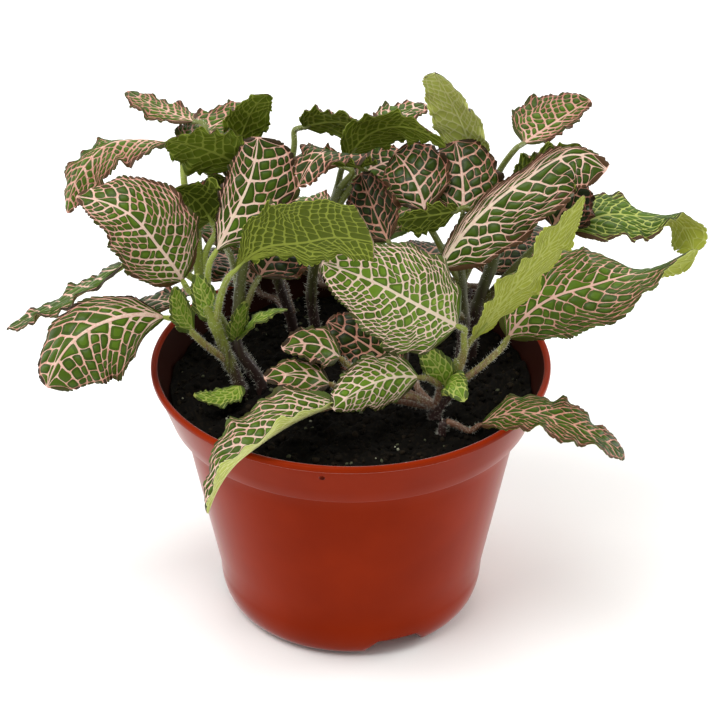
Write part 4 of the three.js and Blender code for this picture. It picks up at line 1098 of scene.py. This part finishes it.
# Stems: older wood is purple-brown, younger growth yellow-green, in soft streaks that run along them
def stemMaterial(name, young, old, roughness, fromHeight, toHeight):
    material = bpy.data.materials.new(name)
    material.use_nodes = True
    tree = material.node_tree
    shader = tree.nodes["Principled BSDF"]
    shader.inputs["Roughness"].default_value = roughness
    place = addNode(tree, "ShaderNodeTexCoord")
    streaks = addNode(tree, "ShaderNodeMapping", inputs={"Scale": (1.0, 1.0, 0.12)},
                      links={"Vector": place.outputs["Object"]})
    noise = addNode(tree, "ShaderNodeTexNoise", inputs={"Scale": 1 / (1.1 * metre), "Detail": 2.0},
                    links={"Vector": streaks.outputs["Vector"]})  # streaks about a millimetre broad
    split = addNode(tree, "ShaderNodeSeparateXYZ", links={"Vector": place.outputs["Object"]})
    rise = addNode(tree, "ShaderNodeMapRange", links={"Value": split.outputs["Z"]},
                   inputs={"From Min": fromHeight * metre, "From Max": toHeight * metre})
    uneven = addNode(tree, "ShaderNodeMath", {"operation": "MULTIPLY_ADD"}, {1: 0.9, 2: -0.45},
                     {0: noise.outputs["Fac"]})
    age = addNode(tree, "ShaderNodeMath", {"operation": "ADD", "use_clamp": True},
                  links={0: rise.outputs["Result"], 1: uneven.outputs["Value"]})
    ramp = addNode(tree, "ShaderNodeValToRGB", links={"Fac": age.outputs["Value"]})
    ramp.color_ramp.elements[0].color = linear(old)
    ramp.color_ramp.elements[0].position = 0.15
    ramp.color_ramp.elements[1].color = linear(young)
    ramp.color_ramp.elements[1].position = 0.85
    tree.links.new(ramp.outputs["Color"], shader.inputs["Base Color"])
    material.diffuse_color = linear(young)
    return material


stemMaterials = {
    "stem_skin": stemMaterial("stem_skin", "#7d882c", "#331f1b", 0.5, 78, 104),
    "stalk_skin": stemMaterial("stalk_skin", "#8f9c3c", "#6d4a34", 0.5, 80, 112),
    # Painted shade: darker copies of the skins for stems inside the plant
    "stem_shaded": stemMaterial("stem_shaded", "#4c521c", "#2a1813", 0.5, 84, 118),
    "stalk_shaded": stemMaterial("stalk_shaded", "#606824", "#4a3220", 0.5, 84, 118),
    "stem_hair": plainMaterial("stem_hair", "#e3e2d2", 0.7),
    **leafMaterials,
}


# A smooth curve through points, as the frame's stems follow it
def smoothPath(points, count):
    points = np.array(points, float)
    last = len(points) - 1
    path = []
    for at in np.linspace(0, last, count):
        i = min(int(at), last - 1)
        w = at - i
        p1, p2 = points[i], points[i + 1]
        p0 = points[i - 1] if i else 2 * p1 - p2
        p3 = points[i + 2] if i + 2 <= last else 2 * p2 - p1
        d0, d1, d2 = (max(np.linalg.norm(b - a), 1e-4) ** 0.5 for a, b in ((p0, p1), (p1, p2), (p2, p3)))
        s1 = ((p1 - p0) / d0 - (p2 - p0) / (d0 + d1) + (p2 - p1) / d1) * d1
        s2 = ((p2 - p1) / d1 - (p3 - p1) / (d1 + d2) + (p3 - p2) / d2) * d1
        square, cube = -3 * p1 + 3 * p2 - 2 * s1 - s2, 2 * p1 - 2 * p2 + s1 + s2
        path.append(p1 + s1 * w + square * w ** 2 + cube * w ** 3)
    return np.array(path)


# A round tube along a path, its radius given at each point, closed at both ends
def makeTube(path, radii, shade, sides=12):
    along = unit(np.gradient(path, axis=0))
    across = np.cross(along[0], [0.3, 1, 0.1])
    corners, faces = [], []
    for p, direction, radius in zip(path, along, radii):
        across = across - direction * (across @ direction)
        across /= np.linalg.norm(across)
        other = np.cross(direction, across)
        for i in range(sides):
            turn = 2 * math.pi * i / sides
            corners.append(p + radius * (math.cos(turn) * across + math.sin(turn) * other))
    for row in range(len(path) - 1):
        for i in range(sides):
            j = (i + 1) % sides
            faces.append((row * sides + i, row * sides + j, (row + 1) * sides + j, (row + 1) * sides + i))
    faces.append(tuple(range(sides))[::-1])
    faces.append(tuple(range((len(path) - 1) * sides, len(path) * sides)))
    return np.array(corners), faces, [shade] * len(faces)


# Fine pale hairs that stand out all round a stem and lean a little towards its tip
def makeHairs(path, radii, perMillimetre, length, rng):
    halfWidth, sunk = 0.035, 0.05
    spans = np.linalg.norm(np.diff(path, axis=0), axis=1)
    count = int(spans.sum() * perMillimetre)
    knots = np.concatenate(([0], np.cumsum(spans)))
    along = np.interp(rng.uniform(0, spans.sum(), count), knots, np.arange(len(path)))
    i = np.minimum(along.astype(int), len(path) - 2)
    w = (along - i)[:, None]
    root = path[i] * (1 - w) + path[i + 1] * w
    radius = np.array(radii)[i][:, None]
    direction = unit(path[i + 1] - path[i])
    out = rng.normal(size=(count, 3))
    out = unit(out - direction * (out * direction).sum(axis=1, keepdims=True))
    side = np.cross(direction, out)
    reach = length * rng.uniform(0.5, 1.2, (count, 1))
    lean = direction * rng.uniform(-0.1, 0.7, (count, 1)) + side * rng.uniform(-0.3, 0.3, (count, 1))
    tip = root + out * (radius + reach) + lean * reach
    foot = root + out * (radius - sunk)
    corners = np.concatenate([foot + side * halfWidth, foot - side * halfWidth, foot + direction * sunk, tip])
    faces = []
    for n in range(count):
        a, b, c, d = n, n + count, n + 2 * count, n + 3 * count
        faces += [(a, c, d), (c, b, d), (b, a, d)]
    return corners, faces, ["stem_hair"] * len(faces)


# Shoots and leaf stalks in millimetres. "foot", "top", "tip" and "swelling" are shares of the radius, and
# "underMidrib" is one of the blade's length.
stemSizes = {
    "ground": 75.5, "depth": 13, "sides": 14, "hairLength": 1.05, "hairsFrom": 74.5,
    "swelling": 0.16, "swollenOver": 2.2, "foot": 1.2, "top": 0.95,
    "hairsInLight": 18, "hairsInShade": 8,  # to a millimetre of stem
}
stalkSizes = {
    "radius": 0.9, "lead": 4, "sides": 10, "hairLength": 0.8, "foot": 1.25, "top": 0.92,
    "underMidrib": 0.12, "below": 0.62, "tip": 0.34,
}
# Stems in the light. The rest stand in the shade inside the plant, and their darker shaded skins are painted
# shade
outerStems = ("stem_left_front", "stem_left_back", "stem_right_front", "stem_right_low")


def stalkPath(leaf, route):
    base = np.array(leaf["spine"][0], float)
    forward = (midribAt(leaf["spine"], [0.02]) - base)[0]
    forward /= np.linalg.norm(forward)
    ends = [base - forward * stalkSizes["lead"], base - forward * 0.4]
    return smoothPath(list(route) + ends, 5 * (len(route) + 2))


for number, (name, stem) in enumerate(stems.items()):
    rng = np.random.default_rng(seed * 100 + number)
    outside = name in outerStems
    skin = ("stem_skin", "stalk_skin") if outside else ("stem_shaded", "stalk_shaded")
    sizes, stalk = stemSizes, stalkSizes
    hairs = sizes["hairsInLight"] if outside else sizes["hairsInShade"]
    (rootX, rootY), *rest = stem["trunk"]
    ground, depth = sizes["ground"], sizes["depth"]
    root = [[rootX, rootY, z] for z in (ground - depth, ground - depth / 2, ground + 2)]
    path = smoothPath(root + rest, 9 * (len(rest) + 3))
    knees = np.array(rest[:-1] or rest, float)
    apart = np.min(np.linalg.norm(path[:, None] - knees[None], axis=2), axis=1)
    taper = np.linspace(sizes["foot"], sizes["top"], len(path))
    swollen = 1 + sizes["swelling"] * np.exp(-(apart / sizes["swollenOver"]) ** 2)  # where the stem branches
    radii = stem["radius"] * taper * swollen
    parts = [makeTube(path, radii, skin[0], sizes["sides"])]
    above = path[:, 2] > sizes["hairsFrom"]
    parts.append(makeHairs(path[above], radii[above], hairs, sizes["hairLength"], rng))
    for leafName, route in stem["stalks"].items():
        leaf = leaves[leafName]
        way = stalkPath(leaf, route)
        thick = stalk["radius"] * np.linspace(stalk["foot"], stalk["top"], len(way))
        parts.append(makeTube(way, thick, skin[1], stalk["sides"]))
        parts.append(makeHairs(way, thick, hairs, stalk["hairLength"], rng))
        # The stalk runs on as the lower half of the midrib's first stretch
        start = np.linspace(0, stalk["underMidrib"], 6)
        below = midribAt(leaf["spine"], start) - bladeNormal(leaf, start, np.zeros(6)) * stalk["below"]
        lead = np.concatenate([way[-2:], below[1:]])
        thinning = stalk["radius"] * np.linspace(0.9, stalk["tip"], len(lead))
        parts.append(makeTube(lead, thinning, skin[1], stalk["sides"]))
    for youngName in stem["young"]:
        parts.append(makeBlade(youngLeaves[youngName], looks["young"], rng))
    shoot = addMesh(name + "_shoot", parts, stemMaterials)
    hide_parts(name)
    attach(shoot, "root")


# Pot: satin terracotta-coloured plastic, moulded in one piece with a rounded lip; sizes as the frame's
potSizes = {
    "rim": 60, "height": 82, "wall": 1.3, "collar": 15.5, "collarFoot": 54.6,
    "bodyTop": 51.2, "bodyFoot": 40.4, "curve": 13, "foot": 33.6, "ringInner": 28.5, "pad": 13, "rise": 5.6,
    "notches": 3, "notchWidth": 17, "notchHeight": 6.1, "notchTurn": -69, "notchEase": 3.5,
    "drain": 3.6, "drainAt": 23, "gate": 0.9, "gateDrop": 4.6, "gateTurn": -98,
    "cutDepth": 12, "gateDepth": 8, "sides": 216,
}


def potRadius(z):
    p = potSizes
    if z < p["curve"]:
        rise = max(0.0, 1 - (1 - z / p["curve"]) ** 2) ** 0.4
        return p["foot"] + (p["bodyFoot"] - p["foot"]) * rise
    f = (z - p["curve"]) / (p["height"] - p["collar"] - p["curve"])
    return p["bodyFoot"] + (p["bodyTop"] - p["bodyFoot"]) * f


def potInside(z):
    p = potSizes
    base = p["height"] - p["collar"]
    stations = [p["curve"], base - 1.5, base + 2.5, p["height"] - 0.8]
    radii = [p["bodyFoot"], p["bodyTop"], p["collarFoot"], p["rim"] - 0.7]
    return float(np.interp(z, stations, radii)) - p["wall"]


def potOutline():
    p = potSizes
    base = p["height"] - p["collar"]
    pad, rise, ring, foot = p["pad"], p["rise"], p["ringInner"], p["collarFoot"]
    line = [(0, 0), (pad - 0.4, 0), (pad, 0.3), (pad + 2, rise - 0.3), (pad + 2.6, rise), (ring - 2.6, rise),
            (ring - 2, rise - 0.3)]
    line += [(ring - 2 + 2 * f, rise * (1 - f)) for f in (0.3, 0.6, 0.9)]
    line += [(ring + 0.4, 0), (potRadius(0) - 0.3, 0)]
    line += [(potRadius(z), z) for z in (0.25, 0.6, 1, 1.6, 2.4, 3.4, 4.6, 6, 7.6, 9.4, 11.2, 13)]
    for z in (20, 30, 40, 50, 60):  # nearly straight body
        line.append((potRadius(z), z))
    for outward, up in ((-0.05, -0.6), (0.25, -0.05), (0.7, 0)):
        line.append((potRadius(base) + outward, base + up))
    line += [(foot - 1.0, base + 0.1), (foot - 0.35, base + 0.25), (foot, base + 0.8)]
    for f in (0.3, 0.6, 0.98):  # the collar
        line.append((foot + (p["rim"] - 0.8 - foot) * f, base + 0.9 + (p["height"] - 3.0 - base) * f))
    for inward, down in ((0.75, 2), (0.35, 1.85), (0.05, 1.6), (0, 1.2), (0, 0.6), (0.15, 0.25), (0.5, 0),
                         (1.3, 0), (1.7, 0.2), (2, 0.8)):  # the rounded lip
        line.append((p["rim"] - inward, p["height"] - down))
    insideFrom = len(line)
    line += [(potInside(z), z) for z in (78, 74, 70, 69, 67, 65, 55, 40, 25, 13)]
    line += [(p["foot"] + 1.7, 9.2), (p["foot"] - 3.3, 6.9), (0, 6.9)]
    return line, insideFrom


def makePot():
    p = potSizes
    outline, insideFrom = potOutline()
    sides = p["sides"]
    corners, faces = [], []
    rows = []
    for r, z in outline:
        if r == 0:
            rows.append([len(corners)])
            corners.append((0, 0, z))
            continue
        rows.append(list(range(len(corners), len(corners) + sides)))
        for i in range(sides):
            turn = 2 * math.pi * i / sides
            lift = z
            if z < p["notchHeight"] and r > p["ringInner"] - 2.2:  # the foot ring's three shallow arches
                apart = 360 // p["notches"]  # degrees from one notch to the next
                ahead = (math.degrees(turn) - p["notchTurn"] + apart // 2) % apart
                aside = math.radians(abs(ahead - apart // 2)) * p["foot"]
                edge = (p["notchWidth"] / 2 - aside) / p["notchEase"]
                if edge > 0:
                    lift = max(z, p["notchHeight"] * min(1, edge) ** 0.5)
            corners.append((r * math.cos(turn), r * math.sin(turn), lift))
    shades = []
    for row, (lower, upper) in enumerate(zip(rows, rows[1:])):
        # Faces from the lip's inner edge down take the darker inside material: painted shade, with peat dust
        shades += ["pot_inside_shade_and_dust" if row >= insideFrom - 1 else "pot_plastic"] * sides
        for i in range(sides):
            j = (i + 1) % sides
            if len(lower) == 1:
                faces.append((lower[0], upper[j], upper[i]))
            elif len(upper) == 1:
                faces.append((lower[i], lower[j], upper[0]))
            else:
                faces.append((lower[i], lower[j], upper[j], upper[i]))
    return np.array(corners), faces, shades


def potMaterial():
    material = bpy.data.materials.new("pot_plastic")
    material.use_nodes = True
    tree = material.node_tree
    shader = tree.nodes["Principled BSDF"]
    place = addNode(tree, "ShaderNodeTexCoord")
    cloud = addNode(tree, "ShaderNodeTexNoise", inputs={"Scale": 1 / (22 * metre), "Detail": 3.0},
                    links={"Vector": place.outputs["Object"]})  # flow marks a couple of centimetres across
    ramp = addNode(tree, "ShaderNodeValToRGB", links={"Fac": cloud.outputs["Fac"]})
    ramp.color_ramp.elements[0].color = linear("#7b1f02")
    ramp.color_ramp.elements[0].position = 0.3
    ramp.color_ramp.elements[1].color = linear("#852404")
    ramp.color_ramp.elements[1].position = 0.7
    tree.links.new(ramp.outputs["Color"], shader.inputs["Base Color"])
    shader.inputs["Roughness"].default_value = 0.3
    shader.inputs["Specular IOR Level"].default_value = 0.02  # satin, hardly any gloss seen straight on
    shader.inputs["IOR"].default_value = 1.5
    shader.inputs["Sheen Weight"].default_value = 0.5  # fine dust whitens the sides, seen at a slant
    shader.inputs["Sheen Roughness"].default_value = 0.3
    material.diffuse_color = linear("#7f2203")
    return material


def cutHoles(obj):
    p = potSizes
    cutters = []
    for n in range(p["notches"]):
        turn = math.radians(p["notchTurn"] + 360 // p["notches"] * n)
        where = Vector((p["drainAt"] * math.cos(turn), p["drainAt"] * math.sin(turn), p["rise"])) * metre
        bpy.ops.mesh.primitive_cylinder_add(vertices=32, radius=p["drain"] * metre,
                                            depth=p["cutDepth"] * metre, location=where)
        cutters.append(bpy.context.object)
    turn = math.radians(p["gateTurn"])
    gateHeight = p["height"] - p["gateDrop"]
    where = Vector((p["rim"] * math.cos(turn), p["rim"] * math.sin(turn), gateHeight)) * metre
    bpy.ops.mesh.primitive_cylinder_add(vertices=24, radius=p["gate"] * metre,
                                        depth=p["gateDepth"] * metre, location=where,
                                        rotation=(math.pi / 2, 0, turn + math.pi / 2))
    cutters.append(bpy.context.object)
    for cutter in cutters:
        cut = obj.modifiers.new("hole", "BOOLEAN")
        cut.operation = "DIFFERENCE"
        cut.object = cutter
    graph = bpy.context.evaluated_depsgraph_get()
    made = bpy.data.meshes.new_from_object(obj.evaluated_get(graph))
    obj.modifiers.clear()
    obj.data = made
    for cutter in cutters:
        bpy.data.objects.remove(cutter)


potMaterials = {
    "pot_plastic": potMaterial(),
    # Painted shade: the inside is the same plastic made darker for the shade within the pot, and dulled by
    # peat dust
    "pot_inside_shade_and_dust": plainMaterial("pot_inside_shade_and_dust", "#2c110a", 0.55, 1.5, 0.05),  # the same, dulled by peat dust
}
pot = addMesh("pot_moulding", [makePot()], potMaterials)
cutHoles(pot)
pot.data.set_sharp_from_angle(angle=math.radians(38))
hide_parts("pot")
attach(pot, "root")
print("pot done", len(pot.data.polygons))

# Soil: nearly black peat in crumbs, with pale grey-green perlite
soilSizes = {
    "edge": 73, "crown": 2.5, "rough": 0.7, "clear": 0.5, "rings": 90, "sides": 260,
    "foot": 29, "floor": 7.2, "grain": 0.12, "grainWaves": 24, "pitch": (0.6, 2.6),
    "crumbs": 1500, "crumbSize": (0.35, 1.25), "perlite": 110, "perliteSize": (0.35, 1.0), "wallGap": 1.6,
}
soilShades = {
    "peat_dark": ("#0d0b08", 0.95),
    "peat_brown": ("#15110c", 0.95),
    "peat_crumb": ("#211b13", 0.9),
    "perlite_pale": ("#8d8e78", 0.85),
    "perlite_dim": ("#4b4d3a", 0.9),
}
soilMaterials = {name: plainMaterial(name, *shade, 1.4, 0.1) for name, shade in soilShades.items()}


def soilHeight(x, y):
    edge = np.hypot(x, y) / potSizes["rim"]
    lumps = np.sin(x * 0.41 + 1.3) * np.cos(y * 0.37 - 0.6) + 0.6 * np.sin(x * 0.9 - y * 0.7)
    return soilSizes["edge"] + soilSizes["crown"] * (1 - edge * edge) + soilSizes["rough"] * lumps


def makeSoilBody(rng):
    p = soilSizes
    surface = potInside(p["edge"]) - p["clear"]
    fullTurn = 6.3  # very nearly
    waves = rng.uniform(0, fullTurn, (p["grainWaves"], 2))
    pitch = rng.uniform(*p["pitch"], p["grainWaves"])
    heading = rng.uniform(0, fullTurn, p["grainWaves"])
    turn = np.arange(p["sides"]) * 2 * math.pi / p["sides"]
    rows, faces, shades = [], [], []
    for ring in range(p["rings"] + 1):
        r = surface * ring / p["rings"]
        x, y = r * np.cos(turn), r * np.sin(turn)
        grain = 0
        for (first, second), k, h in zip(waves, pitch, heading):
            ahead, aside = x * np.cos(h) + y * np.sin(h), y * np.cos(h) - x * np.sin(h)
            grain = grain + np.sin(ahead * k + first) * np.sin(aside * k * 0.8 + second)
        z = soilHeight(x, y) + p["grain"] * grain * min(1, 3 * (1 - ring / p["rings"]) + 0.2)
        rows.append(np.stack([x, y, z], axis=1))
    walls = [(potInside(z) - p["clear"], z) for z in (69, 64, 40, 14)]
    for r, z in walls + [(p["foot"], p["floor"])]:
        rows.append(np.stack([r * np.cos(turn), r * np.sin(turn), np.full(p["sides"], float(z))], axis=1))
    for a in range(len(rows) - 1):
        for i in range(p["sides"]):
            j = (i + 1) % p["sides"]
            here, below = a * p["sides"], (a + 1) * p["sides"]
            faces.append((here + i, below + i, below + j, here + j))
            shades.append("peat_brown" if rng.uniform() < 0.25 else "peat_dark")
    last = (len(rows) - 1) * p["sides"]
    faces.append(tuple(last + i for i in range(p["sides"]))[::-1])
    shades.append("peat_dark")
    return np.concatenate(rows), faces, shades


# A small angular lump: a squeezed, jittered low ball
def makeLump(centre, radius, shade, rng):
    ball = bmesh.new()
    bmesh.ops.create_icosphere(ball, subdivisions=1, radius=1.0)
    points = np.array([v.co[:] for v in ball.verts])
    faces = [tuple(v.index for v in f.verts) for f in ball.faces]
    ball.free()
    points = points * rng.uniform(0.72, 1.2, (len(points), 1)) * rng.uniform(0.65, 1.15, 3)
    turn = rng.uniform(0, 2 * math.pi)
    c, s = math.cos(turn), math.sin(turn)
    points = points @ np.array([[c, -s, 0], [s, c, 0], [0, 0, 1]])
    return np.array(centre) + points * radius, faces, [shade] * len(faces)


def makeCrumbs(rng):
    p = soilSizes
    surface = potInside(p["edge"]) - p["clear"]
    parts = []
    for i in range(p["crumbs"] + p["perlite"]):
        white = i >= p["crumbs"]
        r = (surface - p["wallGap"]) * math.sqrt(rng.uniform())
        turn = rng.uniform(0, 2 * math.pi)
        x, y = r * math.cos(turn), r * math.sin(turn)
        radius = rng.uniform(*p["perliteSize" if white else "crumbSize"])
        z = float(soilHeight(x, y)) + radius * rng.uniform(-0.3, 0.35)
        if white:
            shade = "perlite_pale" if rng.uniform() < 0.25 else "perlite_dim"
        else:
            shade = ("peat_dark", "peat_brown", "peat_crumb")[int(rng.choice(3, p=[0.5, 0.35, 0.15]))]
        parts.append(makeLump((x, y, z), radius, shade, rng))
    return parts


rng = np.random.default_rng(seed + 900)
soil = addMesh("soil_surface", [makeSoilBody(rng)] + makeCrumbs(rng), soilMaterials)
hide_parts("soil")
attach(soil, "root")
print("soil done", len(soil.data.polygons))

# Studio: a pale floor, a bright even sky and four soft round lights; places and sizes in metres
studio = {"floorSize": 8, "floorDrop": 0.6 * metre, "sky": 0.6, "aim": (0, 0, 0.09)}
floorMaterial = plainMaterial("studio_floor", "#f4f4f2", 0.9)
bpy.ops.mesh.primitive_plane_add(size=studio["floorSize"], location=(0, 0, -studio["floorDrop"]))
floor = bpy.context.object
floor.name = "studio_floor"
floor.data.materials.append(floorMaterial)

world = bpy.data.worlds.new("studio_sky")
bpy.context.scene.world = world
world.use_nodes = True
world.node_tree.nodes["Background"].inputs["Color"].default_value = (1, 1, 1, 1)
world.node_tree.nodes["Background"].inputs["Strength"].default_value = studio["sky"]

softLights = {
    "key": {"place": (-0.4, -0.4, 1.3), "size": 0.9, "power": 15},
    "left": {"place": (-0.95, 0.3, 0.35), "size": 0.7, "power": 4},
    "right": {"place": (0.95, 0.3, 0.35), "size": 0.7, "power": 7},
    "back": {"place": (0.1, 0.9, 1.0), "size": 1.0, "power": 5},
}
for name, light in softLights.items():
    data = bpy.data.lights.new(name, "AREA")
    data.shape = "DISK"
    data.size = light["size"]
    data.energy = light["power"]
    lamp = bpy.data.objects.new(name, data)
    lamp.location = light["place"]
    aim = Vector(studio["aim"]) - Vector(light["place"])
    lamp.rotation_euler = aim.to_track_quat("-Z", "Y").to_euler()
    bpy.context.scene.collection.objects.link(lamp)

# Fitted to the photo: 0.84 m in front, 0.59 m up, looking 31 degrees down
viewpoint = {"lens": 164.1, "sensor": 36, "place": (0.00276, -0.8433, 0.5904), "down": 0.5425}
camera = bpy.data.cameras.new("camera")
camera.lens = viewpoint["lens"]
camera.sensor_width = viewpoint["sensor"]
view = bpy.data.objects.new("camera", camera)
view.location = viewpoint["place"]
view.rotation_euler = (math.pi / 2 - viewpoint["down"], 0, 0)
bpy.context.scene.collection.objects.link(view)
bpy.context.scene.camera = view
bpy.context.scene.view_settings.view_transform = "Standard"  # the photo has full contrast
